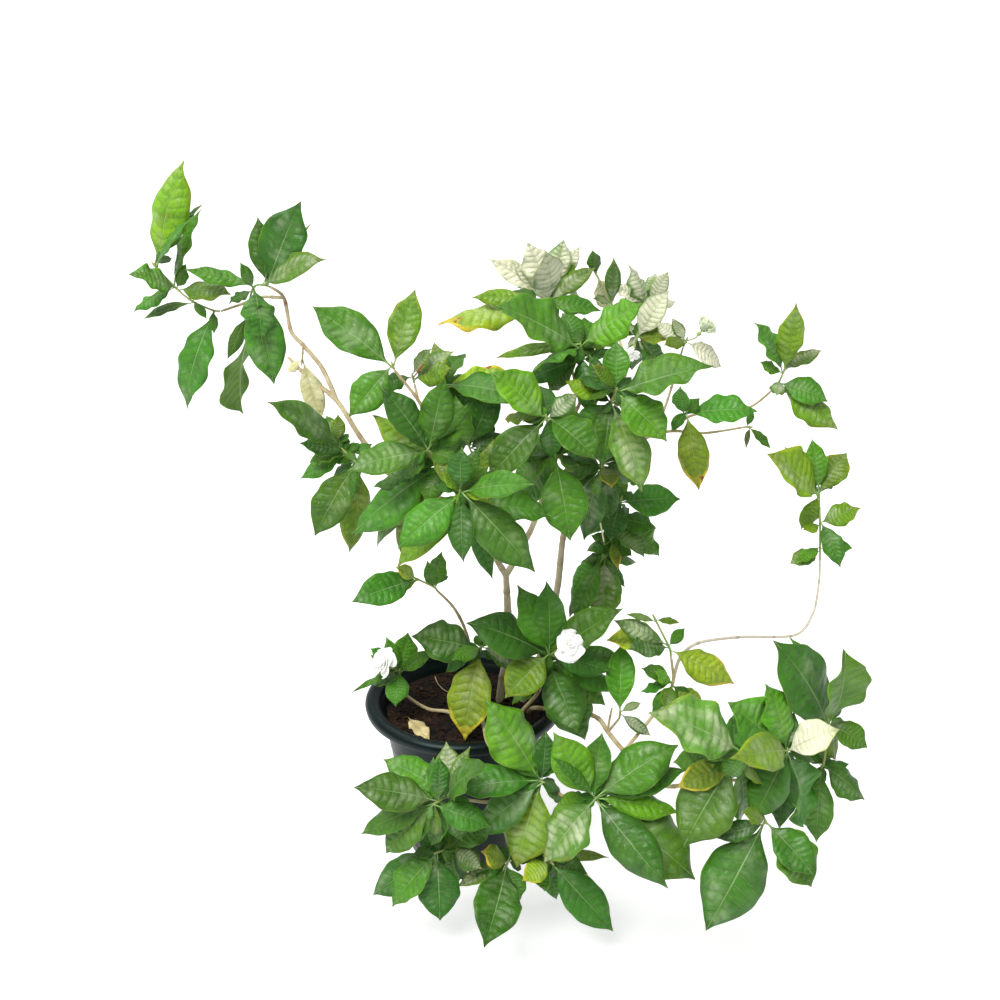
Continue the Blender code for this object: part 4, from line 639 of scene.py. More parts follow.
found = findLeaves()
offs = sorted((leaf["off"] for leaves in found.values() for leaf in leaves), reverse=True)
findBackLeaves(found)
addInnerLeaves(found)
print("leaves:", sum(map(len, found.values())),
      "furthest off:", [round(off * 1000, 2) for off in offs[:6]])


def rgb(red, green, blue):
    return tuple(pow(max(0, value / 255), 2.2) for value in (red, green, blue)) + (1,)


def newMaterial(name, **fixed):
    made = bpy.data.materials.new(name)
    made.use_nodes = True
    shader = made.node_tree.nodes["Principled BSDF"]
    for socket, value in fixed.items():
        shader.inputs[socket.replace("_", " ")].default_value = value
    return made, made.node_tree


# Adds a node; an input given as a socket is linked, and any other value is set
def addNode(tree, kind, given=None, **settings):
    made = tree.nodes.new(kind)
    for name, value in settings.items():
        setattr(made, name, value)
    for name, value in (given or {}).items():
        if isinstance(value, bpy.types.NodeSocket):
            tree.links.new(value, made.inputs[name])
        else:
            made.inputs[name].default_value = value
    return made


# The output of a node that is added to the tree of the sockets that it is given
def joinNode(kind, given, output=0, **settings):
    tree = next(value.id_data for value in given.values() if isinstance(value, bpy.types.NodeSocket))
    return addNode(tree, kind, given, **settings).outputs[output]


def calc(operation, *values, clamp=False):
    return joinNode("ShaderNodeMath", dict(enumerate(values)), operation=operation, use_clamp=clamp)


def times(first, second, clamp=False):
    return calc("MULTIPLY", first, second, clamp=clamp)


def minus(first, second):
    return calc("SUBTRACT", first, second)


def inverted(value):
    return minus(1.0, value)


def scaled(value, factor, extra):
    return calc("MULTIPLY_ADD", value, factor, extra)


# The first value, and each further one by its weight
def weighted(first, *terms):
    for value, weight in terms:
        first = scaled(value, weight, first)
    return first


def blend(factor, first, second, mode="MIX"):
    return joinNode("ShaderNodeMix", {0: factor, 6: first, 7: second}, 2, data_type="RGBA",
                    blend_type=mode)


# Lays a tone over a colour, by the mask's value and the share
def layOver(colour, tone, mask, share=None):
    return blend(mask if share is None else times(mask, share), colour, tone)


def ramp(value, low, high):
    return joinNode("ShaderNodeMapRange", {0: value, 1: low, 2: high, 3: 0.0, 4: 1.0},
                    interpolation_type="SMOOTHSTEP")


def noiseAt(vector, scale, detail=3.0, rough=0.55, distortion=0.0):
    return joinNode("ShaderNodeTexNoise", {"Vector": vector, "Scale": scale, "Detail": detail,
                                           "Roughness": rough, "Distortion": distortion})


def cellsAt(vector, scale, **settings):
    return joinNode("ShaderNodeTexVoronoi", {"Vector": vector, "Scale": scale}, **settings)


def stretched(vector, scale):
    return joinNode("ShaderNodeMapping", {"Vector": vector, "Scale": scale})


def objectPlace(tree):
    return addNode(tree, "ShaderNodeTexCoord").outputs["Object"]


def uvPlace(tree):
    return addNode(tree, "ShaderNodeUVMap", uv_map="UVMap").outputs[0]


def attributeAt(tree, name, output="Color"):
    return addNode(tree, "ShaderNodeAttribute", attribute_name=name).outputs[output]


def splitPlace(tree, vector):
    return addNode(tree, "ShaderNodeSeparateXYZ", {0: vector}).outputs


def splitColour(tree, colour):
    return addNode(tree, "ShaderNodeSeparateColor", {0: colour}).outputs


# Links a material's colour, roughness, bump (height, strength, distance) and further inputs
def dress(material, colour, rough, bump, **more):
    tree = material.node_tree
    shader = tree.nodes["Principled BSDF"]
    normal = joinNode("ShaderNodeBump", {"Height": bump[0], "Strength": bump[1], "Distance": bump[2]})
    for name, value in dict(more, Base_Color=colour, Roughness=rough, Normal=normal).items():
        tree.links.new(value, shader.inputs[name.replace("_", " ")])
    return material


socketKinds = {"UV": "Vector", "Place": "Vector", "Tint": "Color", "Marks": "Color", "Colour": "Color"}


# A node group; each input has its first value, and a socket that isn't in socketKinds is a number
def newGroup(name, inputs, outputs):
    tree = bpy.data.node_groups.new(name, "ShaderNodeTree")
    for labels, way in ((inputs, "INPUT"), (outputs, "OUTPUT")):
        for label in labels:
            kind = "NodeSocket" + socketKinds.get(label, "Float")
            socket = tree.interface.new_socket(label, in_out=way, socket_type=kind)
            if way == "INPUT" and inputs[label] is not None:
                socket.default_value = inputs[label]
    return tree, tree.nodes.new("NodeGroupInput").outputs, tree.nodes.new("NodeGroupOutput").inputs


def giveOut(tree, out, **values):
    for name, value in values.items():
        tree.links.new(value, out[name])
    return tree


# Midrib and side veins of a leaf: the UV runs across the blade, then along its veins' own rows
def makeVeins():
    tree, given, out = newGroup(
        "leafVeins", {"UV": None, "Vein Count": 11.0, "Rib Width": 0.05, "Vein Width": 0.10},
        ("Rib", "Veins", "Height", "Swell", "Margin", "Edge", "Along", "Valley"))
    u, v = splitPlace(tree, given["UV"])[:2]
    across = calc("ABSOLUTE", scaled(u, 2.0, -1.0))
    wobble = minus(noiseAt(given["UV"], 9.0, 1.0), 0.5)
    row = weighted(times(v, given["Vein Count"]), (wobble, 0.35))
    near = minus(0.5, calc("ABSOLUTE", minus(calc("FRACT", row), 0.5)))
    reach = inverted(ramp(across, 0.70, 0.97))
    thin = times(given["Vein Width"], minus(1.15, across))
    side = times(inverted(ramp(near, 0.0, thin)), reach)
    valley = times(inverted(ramp(near, 0.02, 0.17)), reach)
    taper = times(given["Rib Width"], minus(1.3, v))
    rib = inverted(ramp(across, times(taper, 0.45), taper))
    rib = times(rib, scaled(v, -0.6, 1.0))
    net = times(ramp(cellsAt(given["UV"], 38.0, feature="DISTANCE_TO_EDGE"), 0.0, 0.09), 0.25)
    swell = times(calc("SINE", times(near, math.pi)), ramp(noiseAt(given["UV"], 5.0, 2.0), 0.25, 0.62))
    swell = times(swell, reach)
    height = weighted(swell, (net, 1.0), (rib, -0.8))
    return giveOut(tree, out, Rib=rib, Veins=side, Height=height, Along=v, Valley=valley, Swell=swell,
                   Margin=ramp(across, 0.94, 1.0), Edge=ramp(across, 0.55, 1.0))


veinGroup = makeVeins()
# The deeper tone darkens random patches and also paints the shade in the vein valleys; the sheen tone is
# a painted highlight
leafFinish = {"ribTop": rgb(166, 194, 134), "veinTop": rgb(150, 182, 100), "yellow": rgb(222, 200, 60),
              "brown": rgb(150, 92, 38), "cream": rgb(240, 238, 208), "under": rgb(140, 168, 84),
              "margin": rgb(150, 184, 70), "sheen": rgb(162, 184, 136), "streak": rgb(120, 150, 70),
              "warmer": (1.65, 1.20, 0.80, 1), "deeper": (0.36, 0.46, 0.36, 1)}


def placeVeins(tree, uv, ribWidth, veinWidth):
    return addNode(tree, "ShaderNodeGroup", {"UV": uv, "Rib Width": ribWidth, "Vein Width": veinWidth},
                   node_tree=veinGroup).outputs


# A leaf's skin. Its "tint" is its own green; "marks" holds its yellowing, paleness and a chance number
def makeLeafSkin():
    tree, given, out = newGroup(
        "leafSkin", {"UV": None, "Place": None, "Tint": None, "Marks": None, "Rib Width": 0.05,
                     "Vein Width": 0.15, "Rib Share": 0.5, "Vein Share": 0.3, "Sheen Share": 0.3},
        ("Colour", "Sheen", "Patches", "Veins", "Height"))
    veins = placeVeins(tree, given["UV"], given["Rib Width"], given["Vein Width"])
    along, edge, swell, valley = veins["Along"], veins["Edge"], veins["Swell"], veins["Valley"]
    yellowing, paleness, chance = splitColour(tree, given["Marks"])
    place, tint = given["Place"], given["Tint"]
    patches = noiseAt(place, 34.0, 4.0)
    broad = noiseAt(place, 15.0, 2.0)
    fine = noiseAt(place, 230.0, 3.0, 0.65)
    streaks = noiseAt(place, 24.0, 4.0, 0.6)
    warm = blend(1.0, tint, leafFinish["warmer"], "MULTIPLY")
    deep = blend(1.0, tint, leafFinish["deeper"], "MULTIPLY")
    colour = layOver(tint, warm, ramp(broad, 0.50, 0.72), 0.50)
    colour = layOver(colour, deep, ramp(patches, 0.46, 0.70), 0.56)
    # Painted shade: the vein valleys are darkened with the deeper tone, standing in for the shade that
    # falls in these creases; pale leaves take less of it
    colour = layOver(colour, deep, valley, calc("MAXIMUM", scaled(paleness, -0.80, 0.68), 0.24))
    colour = layOver(colour, deep, ramp(fine, 0.50, 0.66), 0.26)
    colour = layOver(colour, warm, ramp(fine, 0.50, 0.34), 0.22)
    paler = blend(0.5, tint, leafFinish["veinTop"])
    colour = layOver(colour, paler, veins["Veins"], given["Vein Share"])
    # Painted highlight: a pale sheen tone laid into the colour, more towards the foot, away from the
    # edges and on the swells between the veins; the same mask also sets the coat's gloss
    sheen = weighted(streaks, (chance, 0.20), (along, -0.16), (edge, -0.12), (swell, 0.10))
    sheen = ramp(sheen, 0.56, 0.82)
    colour = layOver(colour, leafFinish["sheen"], sheen, given["Sheen Share"])
    green = times(edge, inverted(paleness), clamp=True)
    creamAt = ramp(weighted(streaks, (paleness, 0.34), (swell, 0.10), (green, -0.60)), 0.50, 0.84)
    # Cream is held back in the vein valleys, so the painted valley shade stays on pale leaves
    creamAt = times(times(creamAt, paleness), scaled(valley, -0.42, 1.0))
    colour = layOver(colour, leafFinish["cream"], creamAt)
    colour = layOver(colour, leafFinish["margin"], veins["Margin"], 0.30)
    fade = weighted(along, (patches, 0.7), (edge, 0.36))
    colour = layOver(colour, leafFinish["yellow"], ramp(fade, 1.14, 1.40), yellowing)
    spots = calc("MAXIMUM", ramp(fade, 1.60, 1.66), ramp(patches, 0.67, 0.70))
    colour = layOver(colour, leafFinish["brown"], spots, yellowing)
    colour = layOver(colour, leafFinish["ribTop"], veins["Rib"], given["Rib Share"])
    return giveOut(tree, out, Colour=colour, Sheen=sheen, Patches=patches, Veins=veins["Veins"],
                   Height=veins["Height"])


skinGroup = makeLeafSkin()


def placeSkin(tree, look):
    given = dict(look, UV=uvPlace(tree), Place=objectPlace(tree), Tint=attributeAt(tree, "tint"),
                 Marks=attributeAt(tree, "marks"))
    return addNode(tree, "ShaderNodeGroup", given, node_tree=skinGroup).outputs


# Sheen Share is how much of the painted sheen tone each side's colour takes
topSkin = {"Rib Width": 0.044, "Vein Width": 0.12, "Rib Share": 0.58, "Vein Share": 0.34,
           "Sheen Share": 0.22}
underSkin = {"Rib Width": 0.075, "Vein Width": 0.20, "Rib Share": 0.8, "Vein Share": 0.6,
             "Sheen Share": 0.05}


def makeLeafTop():
    made, tree = newMaterial("leafTop", IOR=1.46, Specular_IOR_Level=0.42, Coat_Roughness=0.30)
    skin = placeSkin(tree, topSkin)
    rough = weighted(scaled(skin["Patches"], 0.30, 0.26), (skin["Veins"], 0.08))
    return dress(made, skin["Colour"], rough, (skin["Height"], 1.0, 0.0015),
                 Coat_Weight=scaled(skin["Sheen"], 0.42, 0.04))


def makeLeafUnder():
    made, tree = newMaterial("leafUnder", IOR=1.36, Specular_IOR_Level=0.3)
    skin = placeSkin(tree, underSkin)
    colour = blend(0.20, skin["Colour"], leafFinish["under"])
    rough = scaled(skin["Patches"], 0.2, 0.55)
    return dress(made, colour, rough, (times(skin["Height"], -1.0), 0.5, 0.0005))


def makeLeafStalk():
    made, tree = newMaterial("leafStalk", IOR=1.42)
    streaks = noiseAt(objectPlace(tree), 160.0, 2.0)
    colour = blend(0.6, attributeAt(tree, "tint"), leafFinish["ribTop"])
    colour = layOver(colour, leafFinish["streak"], streaks, 0.5)
    return dress(made, colour, scaled(streaks, 0.2, 0.4), (streaks, 0.3, 0.0002))


# Noise laid over a first tone: each layer is (tone, scale, detail, low, high). The last one also
# roughens and bumps
def makeMottled(name, first, layers, rough=(0.2, 0.42), strength=0.3):
    made, tree = newMaterial(name, IOR=1.42)
    colour = rgb(*first)
    for tone, scale, detail, low, high in layers:
        spots = noiseAt(objectPlace(tree), scale, detail)
        colour = layOver(colour, rgb(*tone), ramp(spots, low, high))
    return dress(made, colour, scaled(spots, *rough), (spots, strength, 0.0003))


barkFinish = {"pale": rgb(182, 168, 130), "warm": rgb(146, 126, 88), "dark": rgb(88, 70, 48),
              "dot": rgb(206, 196, 170), "faded": rgb(198, 194, 182), "scar": rgb(122, 58, 36)}


# Bark. Its "tint" holds how faded and how scarred it is; "ring" is 1 on a ring
def makeBark():
    made, tree = newMaterial("stemBark")
    place = objectPlace(tree)
    furrow = noiseAt(stretched(uvPlace(tree), (7.0, 26.0, 1.0)), 2.2, 5.0, 0.62, 0.4)
    patches = noiseAt(place, 30.0, 3.0)
    faded, scarred = splitColour(tree, attributeAt(tree, "tint"))[:2]
    colour = layOver(barkFinish["pale"], barkFinish["warm"], ramp(patches, 0.35, 0.68))
    colour = layOver(colour, barkFinish["dark"], ramp(furrow, 0.52, 0.72), 0.7)
    dots = inverted(ramp(cellsAt(place, 210.0), 0.10, 0.26))
    colour = layOver(colour, barkFinish["dot"], dots, 0.65)
    colour = layOver(colour, barkFinish["faded"], faded, 0.7)
    scarring = times(scarred, ramp(patches, 0.44, 0.56))
    ringTone = layOver(barkFinish["dark"], barkFinish["scar"], scarring)
    colour = layOver(colour, ringTone, attributeAt(tree, "ring", "Fac"), scaled(scarring, 0.45, 0.50))
    height = minus(times(dots, 0.5), furrow)
    return dress(made, colour, scaled(furrow, 0.25, 0.62), (height, 0.6, 0.0008))


# Petals. The glow is painted light: a faint white emission that keeps the petals white where shade falls
# on them; a petal with no glow shows its foot tone and lines more strongly
def makePetal(name, light, footTone, lineTone, glow):
    made, tree = newMaterial(name, IOR=1.36, Specular_IOR_Level=0.3, Subsurface_Weight=0.5,
                             Subsurface_Scale=1.0, Subsurface_Radius=(0.008, 0.007, 0.006),
                             Emission_Color=(1, 1, 0.97, 1), Emission_Strength=glow)
    uv = uvPlace(tree)
    lines = noiseAt(stretched(uv, (26.0, 1.6, 1.0)), 1.0, 2.0)
    foot = inverted(ramp(splitPlace(tree, uv)[1], 0.0, 0.35))
    footShare, lineShare = (0.25, 0.15) if glow else (0.8, 0.6)
    colour = layOver(rgb(*light), rgb(*footTone), foot, footShare)
    colour = layOver(colour, rgb(*lineTone), ramp(lines, 0.45, 0.75), lineShare)
    return dress(made, colour, scaled(lines, 0.2, 0.45), (lines, 0.35, 0.0004))


def makeWithered(name, pale, warm, dark):
    made, tree = newMaterial(name)
    veins = placeVeins(tree, uvPlace(tree), 0.08, 0.22)
    place = objectPlace(tree)
    patches = noiseAt(place, 60.0, 4.0)
    colour = layOver(rgb(*pale), rgb(*warm), ramp(patches, 0.35, 0.65))
    marks = calc("MAXIMUM", times(veins["Veins"], 0.45), veins["Rib"])
    colour = layOver(colour, rgb(*dark), marks, 0.6)
    colour = layOver(colour, rgb(*dark), ramp(noiseAt(place, 150.0), 0.62, 0.72))
    height = weighted(veins["Height"], (patches, 1.0))
    return dress(made, colour, scaled(patches, 0.2, 0.7), (height, 0.7, 0.0006))


def makePotPlastic():
    made, tree = newMaterial("potPlastic", IOR=1.46, Specular_IOR_Level=0.26,
                             Specular_Tint=(0.66, 0.96, 0.92, 1))
    place = objectPlace(tree)
    grain = noiseAt(place, 900.0, 2.0)
    dust = noiseAt(place, 11.0, 4.0, 0.6)
    scuffs = noiseAt(stretched(place, (6.0, 6.0, 160.0)), 1.4, 3.0)
    low = inverted(ramp(splitPlace(tree, place)[2], 0.0, 0.09))
    colour = layOver(rgb(2, 11, 11), rgb(8, 22, 23), ramp(dust, 0.42, 0.74))
    colour = layOver(colour, rgb(48, 66, 66), ramp(scuffs, 0.60, 0.80), 0.35)
    splash = times(low, ramp(noiseAt(place, 60.0, 4.0), 0.48, 0.66))
    colour = layOver(colour, rgb(84, 76, 60), splash, 0.22)
    rough = weighted(scaled(dust, 0.30, 0.26), (splash, 0.3))
    return dress(made, colour, rough, (weighted(scuffs, (grain, 0.4)), 0.25, 0.0004))


def makeSoilMix(name, dark, mid, pale):
    made, tree = newMaterial(name, Specular_IOR_Level=0.2)
    place = objectPlace(tree)
    clods = noiseAt(place, 95.0, 6.0, 0.7)
    specks = noiseAt(place, 330.0, 3.0)
    damp = ramp(noiseAt(place, 13.0, 2.0), 0.38, 0.62)
    colour = layOver(rgb(*dark), rgb(*mid), ramp(clods, 0.38, 0.64), scaled(damp, 0.75, 0.25))
    colour = layOver(colour, rgb(*pale), ramp(specks, 0.62, 0.76), 0.5)
    return dress(made, colour, scaled(specks, 0.25, 0.72), (weighted(clods, (specks, 0.4)), 0.9, 0.0025))


leafTop, leafUnder, leafStalk = makeLeafTop(), makeLeafUnder(), makeLeafStalk()
greenTwig = makeMottled("greenTwig", (104, 138, 62), [
    ((150, 150, 96), 26.0, 2.0, 0.35, 0.7), ((176, 172, 130), 240.0, 3.0, 0.6, 0.75)], (0.3, 0.42), 0.4)
stemBark = makeBark()
# petalWhite has a faint painted glow; budPetal has none
petalWhite = makePetal("petalWhite", (252, 252, 248), (226, 232, 176), (232, 236, 222), 0.07)
budPetal = makePetal("budPetal", (196, 208, 172), (122, 150, 90), (150, 172, 120), 0)
sepalGreen = makeMottled("sepalGreen", (128, 164, 82), [((170, 192, 118), 180.0, 3.0, 0.35, 0.7)])
budCream = makeMottled("budCream", (226, 228, 190), [((200, 212, 140), 180.0, 3.0, 0.35, 0.7)])
budScale = makeMottled("budScale", (122, 66, 48), [((150, 92, 60), 180.0, 3.0, 0.35, 0.7)])
witheredPale = makeWithered("witheredPale", (204, 200, 160), (180, 176, 124), (140, 134, 88))
dryTan = makeWithered("dryTan", (204, 190, 140), (170, 154, 104), (122, 104, 68))
potPlastic = makePotPlastic()
soilMix = makeSoilMix("soilMix", (7, 5, 4), (46, 29, 16), (122, 90, 54))
soilChip = makeSoilMix("soilChip", (22, 13, 7), (88, 58, 32), (160, 124, 78))
print("materials ready")


scratch = bpy.data.meshes.new("scratch")
white = (1, 1, 1, 1)
black = (0, 0, 0, 1)


# A piece's growing mesh, with the layers that its materials read
def newShape():
    bm = bmesh.new()
    bm.loops.layers.uv.new("UVMap")
    for name in ("tint", "marks"):
        bm.verts.layers.float_color.new(name)
    bm.verts.layers.float.new("ring")
    return bm


def addShape(whole, part):
    part.to_mesh(scratch)
    part.free()
    whole.from_mesh(scratch)


def placeMesh(bm, name):
    mesh = bpy.data.meshes.new(name)
    bm.to_mesh(mesh)
    bm.free()
    return placeObject(name, mesh)


def smoothAll(mesh):
    mesh.polygons.foreach_set("use_smooth", [True] * len(mesh.polygons))


def finishPiece(whole, name, materials, nodes):
    made = placeMesh(whole, name)
    for material in materials:
        made.data.materials.append(material)
    smoothAll(made.data)
    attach(made, "root")
    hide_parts(*nodes)
    return made


# (place, share) along a smooth line through the points; the share counts points as the frame does
def smoothPath(points, step):
    path = []
    last = len(points) - 1
    for i in range(last):
        before, beyond = points[max(i - 1, 0)], points[min(i + 2, last)]
        here, there = points[i], points[i + 1]
        cuts = max(2, round((there - here).length / step))
        slope0, slope1 = (there - before) * 0.45, (beyond - here) * 0.45
        for k in range(cuts):
            t = k / cuts
            path.append((hermite(here, there, slope0, slope1, t), (i + t) / last))
    return path + [(points[-1], 1.0)]


# (place, share) along a straight line
def straightPath(start, way, reach, cuts):
    return [(start + way * (fit["gap"] + reach * i / cuts), i / cuts) for i in range(cuts + 1)]


# A round rod, bent along the path; radiusAt(metres, share) gives its radius and ring mark
def addRod(whole, path, sides, radiusAt, slot=0, tint=black):
    part = newShape()
    bmesh.ops.create_cone(part, cap_ends=True, segments=sides, radius1=1, radius2=1, depth=1)
    upright = [edge for edge in part.edges if abs(edge.verts[0].co.z - edge.verts[1].co.z) > 0.5]
    count = len(path) - 1
    if count > 1:
        bmesh.ops.subdivide_edges(part, edges=upright, cuts=count - 1, use_grid_fill=True)
    frames, run, metres = [], 0, [0]
    way = (path[1][0] - path[0][0]).normalized()
    side = way.orthogonal().normalized()
    for i, (place, share) in enumerate(path):
        nextWay = (path[min(i + 1, count)][0] - path[max(i - 1, 0)][0]).normalized()
        side = (way.rotation_difference(nextWay) @ side).normalized()
        way = nextWay
        frames.append((place, side, way.cross(side)))
        if i:
            run += (place - path[i - 1][0]).length
            metres.append(run)
    uv = part.loops.layers.uv[0]
    tints, rings = part.verts.layers.float_color["tint"], part.verts.layers.float["ring"]
    for face in part.faces:
        face.material_index = slot
        angles = [math.atan2(loop.vert.co.y, loop.vert.co.x) / math.tau for loop in face.loops]
        wraps = max(angles) - min(angles) > 0.5
        for loop, angle in zip(face.loops, angles):
            level = round((loop.vert.co.z + 0.5) * count)
            loop[uv].uv = (angle + 1 if wraps and angle < 0 else angle, metres[level])
    for vert in part.verts:
        level = round((vert.co.z + 0.5) * count)
        place, out, over = frames[level]
        radius, ring = radiusAt(metres[level], path[level][1])
        vert.co = place + (out * vert.co.x + over * vert.co.y) * radius
        vert[tints] = tint
        vert[rings] = ring
    addShape(whole, part)


# A rod that tapers evenly and has no rings
def addTaper(whole, path, sides, first, last, slot=0, tint=black, curve=1):
    addRod(whole, path, sides, lambda metres, share: (last + (first - last) * (1 - share) ** curve, 0),
           slot, tint)


# How far the fine blade stands off its smooth surface: quilted between its veins, ruffled along its
# edge, drooping at its sides and nodding at its tip
def bladeRise(blade, look, along, across, row, half):
    length, width, phase, right = blade["length"], blade["width"], blade["phase"], across > 0
    room = clamped((along - blade["foot"]) * 5) * min(1, (1 - along) * 6)
    hump = math.sin(math.pi * (row * look["veins"] % 1) ** 0.8)
    hump *= 0.8 + 0.7 * noise.noise(Vector((across * 1.3, row * 7, phase * 9)))
    quilt = look["quilt"] * length * hump * math.sin(math.pi * min(1, abs(across) * 1.15)) * room
    ripple = math.sin(along * look["frills"] * math.tau + phase * (2 if right else 3))
    ripple += 0.6 * noise.noise(Vector((along * 9, phase * 7, 3 if right else 9)))
    ruffle = look["ruffle"] * width * abs(across) ** 2.5 * room * ripple
    droop = half * look["droop"] * across ** 2 * room
    nod = look["nod"] * length * max(0, along - look["nodAt"]) ** 2
    return quilt + ruffle - (droop + nod)


# A thin blade: a grid laid on the blade's surface, then given its thickness
def addBlade(whole, blade, look, tint, marks, slots=(0, 1)):
    part = newShape()
    uv = part.loops.layers.uv[0]
    tints, marked = part.verts.layers.float_color["tint"], part.verts.layers.float_color["marks"]
    bmesh.ops.create_grid(part, x_segments=look["columns"], y_segments=look["rows"], size=1)
    for face in part.faces:
        face.material_index = slots[0]
        for loop in face.loops:
            loop[uv].uv = ((loop.vert.co.x + 1) / 2, (loop.vert.co.y + 1) / 2)
    for vert in part.verts:
        across, row = vert.co.x, (vert.co.y + 1) / 2
        along = row + look["slant"] * abs(across) ** 1.2 * 4 * row * (1 - row)
        turn = blade["phase"] * 5 * (1 if across > 0 else -1)
        jag = look["jag"] * math.sin(along * look["frills"] * 1.4 * math.tau + turn)
        point, normal, half = bladePoint(blade, along, across * (1 + jag))
        vert.co = point + normal * (bladeRise(blade, look, along, across, row, half) + look["thick"] / 2)
    part.normal_update()
    tops = list(part.faces)
    bmesh.ops.solidify(part, geom=tops, thickness=look["thick"])
    for face in set(part.faces) - set(tops):
        face.material_index = slots[1]
    bmesh.ops.remove_doubles(part, verts=part.verts, dist=0.00001)  # the tip's row meets in one point
    for vert in part.verts:
        vert[tints] = tint
        vert[marked] = marks
    addShape(whole, part)


leafLook = {"rows": 36, "columns": 10, "veins": 11, "slant": 0.085, "quilt": 0.0068, "ruffle": 0.048,
            "frills": 3.7, "jag": 0.018, "droop": 0.26, "nod": 0.45, "nodAt": 0.75, "thick": 0.0005,
            "ribRadius": 0.0011, "ribTip": 0.00025, "ribRows": 14, "ribEnd": 0.985, "ribDepth": 0.0004,
            "stalkDepth": 0.0003, "ribSizes": (0.6, 1.3), "usual": 0.11}
smallLook = dict(leafLook, rows=20, columns=8, veins=9, quilt=0.006)
youngLook = dict(leafLook, rows=12, columns=6, veins=7, quilt=0.006)
leafLooks = ((0.06, leafLook), (0.036, smallLook), (0, youngLook))  # for leaves longer than this
# The fine leaves have a longer drip tip than the frame's
fineOutline = ((0, 0.03), (0.07, 0.045), (0.12, 0.10), (0.20, 0.40), (0.34, 0.86), (0.48, 1.02),
               (0.62, 1.00), (0.75, 0.78), (0.86, 0.40), (0.93, 0.15), (0.97, 0.06), (1, 0.0))
# Each kind's green, yellowing and paleness
kindTones = {"d": ((62, 120, 22), 0.0, 0.05), "m": ((72, 126, 20), 0.0, 0.05),
             "b": ((80, 138, 14), 0.0, 0.0), "l": ((104, 146, 14), 0.15, 0.1),
             "y": ((136, 168, 34), 1.0, 0.1), "p": ((84, 124, 40), 0.1, 0.38),
             "v": ((84, 128, 52), 0.0, 0.80), "c": ((190, 204, 146), 0.2, 1.0)}


def leafTint(kind, draw):
    (red, green, blue), yellow, pale = kindTones[kind]
    light = draw.choice((0.86, 0.96, 1.04, 1.14)) * draw.uniform(0.96, 1.05)
    warm = draw.uniform(-6, 7)
    tint = rgb(red * light + warm, green * light, blue * light - warm * 0.5)
    return tint, (yellow, pale * draw.uniform(0.7, 1.2), draw.random(), 1)


def addLeaf(whole, leaf):
    draw = random.Random(leaf["number"] + 500)
    tint, marks = leafTint(leaf["kind"], draw)
    look = next(look for least, look in leafLooks if leaf["length"] > least)
    changes = (("quilt", 0.7, 1.2), ("ruffle", 0.4, 1.25), ("droop", -0.3, 2.0), ("nod", 0, 1.6))
    look = dict(look, **{name: look[name] * draw.uniform(low, high) for name, low, high in changes})
    addBlade(whole, dict(leaf, outline=fineOutline), look, tint, marks)
    smallest, largest = look["ribSizes"]
    size = min(largest, max(smallest, leaf["length"] / look["usual"]))
    path = []
    for i in range(look["ribRows"] + 1):
        along = i / look["ribRows"] * look["ribEnd"]
        point, normal, half = bladePoint(leaf, along, 0)
        depth = look["stalkDepth"] + look["ribDepth"] * min(1, along * 4)
        path.append((point - normal * depth * size, along))
    addTaper(whole, path, 6, look["ribRadius"] * size, look["ribTip"], 2, tint, 1.3)


shootLook = {"step": 0.004, "sides": 10, "beyond": 0.0035, "knuckle": 0.16, "swell": 0.22, "tip": 0.75}
stalkLook = {"step": 0.003, "sides": 8, "first": 0.0011, "last": 0.0010, "straight": 0.004}
# Small red-brown buds: (node, spot of the tip)
tipBuds = {"far_right": (0, (789, 393)), "upper_left_low": (0, (424, 364))}
tipBudLook = {"cuts": 14, "sides": 10, "thin": 0.0010, "swell": 0.0026, "begins": 0.4}


def addStalk(whole, name):
    shoot, node, end, middle, radius, kind = blooms[name]
    axis = (seen(*middle) - seen(*end)).normalized()
    points = [seen(*shoots[shoot][2][node][0]), seen(*end) - axis * stalkLook["straight"], seen(*end)]
    addTaper(whole, smoothPath(points, stalkLook["step"]), stalkLook["sides"], stalkLook["first"],
             stalkLook["last"], 3)


def addTipBud(whole, shoot):
    node, (across, down) = tipBuds[shoot]
    place = shoots[shoot][2][node][0]
    start, end = seen(*place), seen(across, down, place[2] + 1)

    def budRadius(metres, share):
        belly = clamped((share - tipBudLook["begins"]) / (1 - tipBudLook["begins"]))
        belly = math.sin(math.pi * belly) ** 1.2 * (1.2 - share)
        return tipBudLook["thin"] + tipBudLook["swell"] * belly, 0

    cuts = tipBudLook["cuts"]
    path = [(start.lerp(end, i / cuts), i / cuts) for i in range(cuts + 1)]
    addRod(whole, path, tipBudLook["sides"], budRadius, 4)


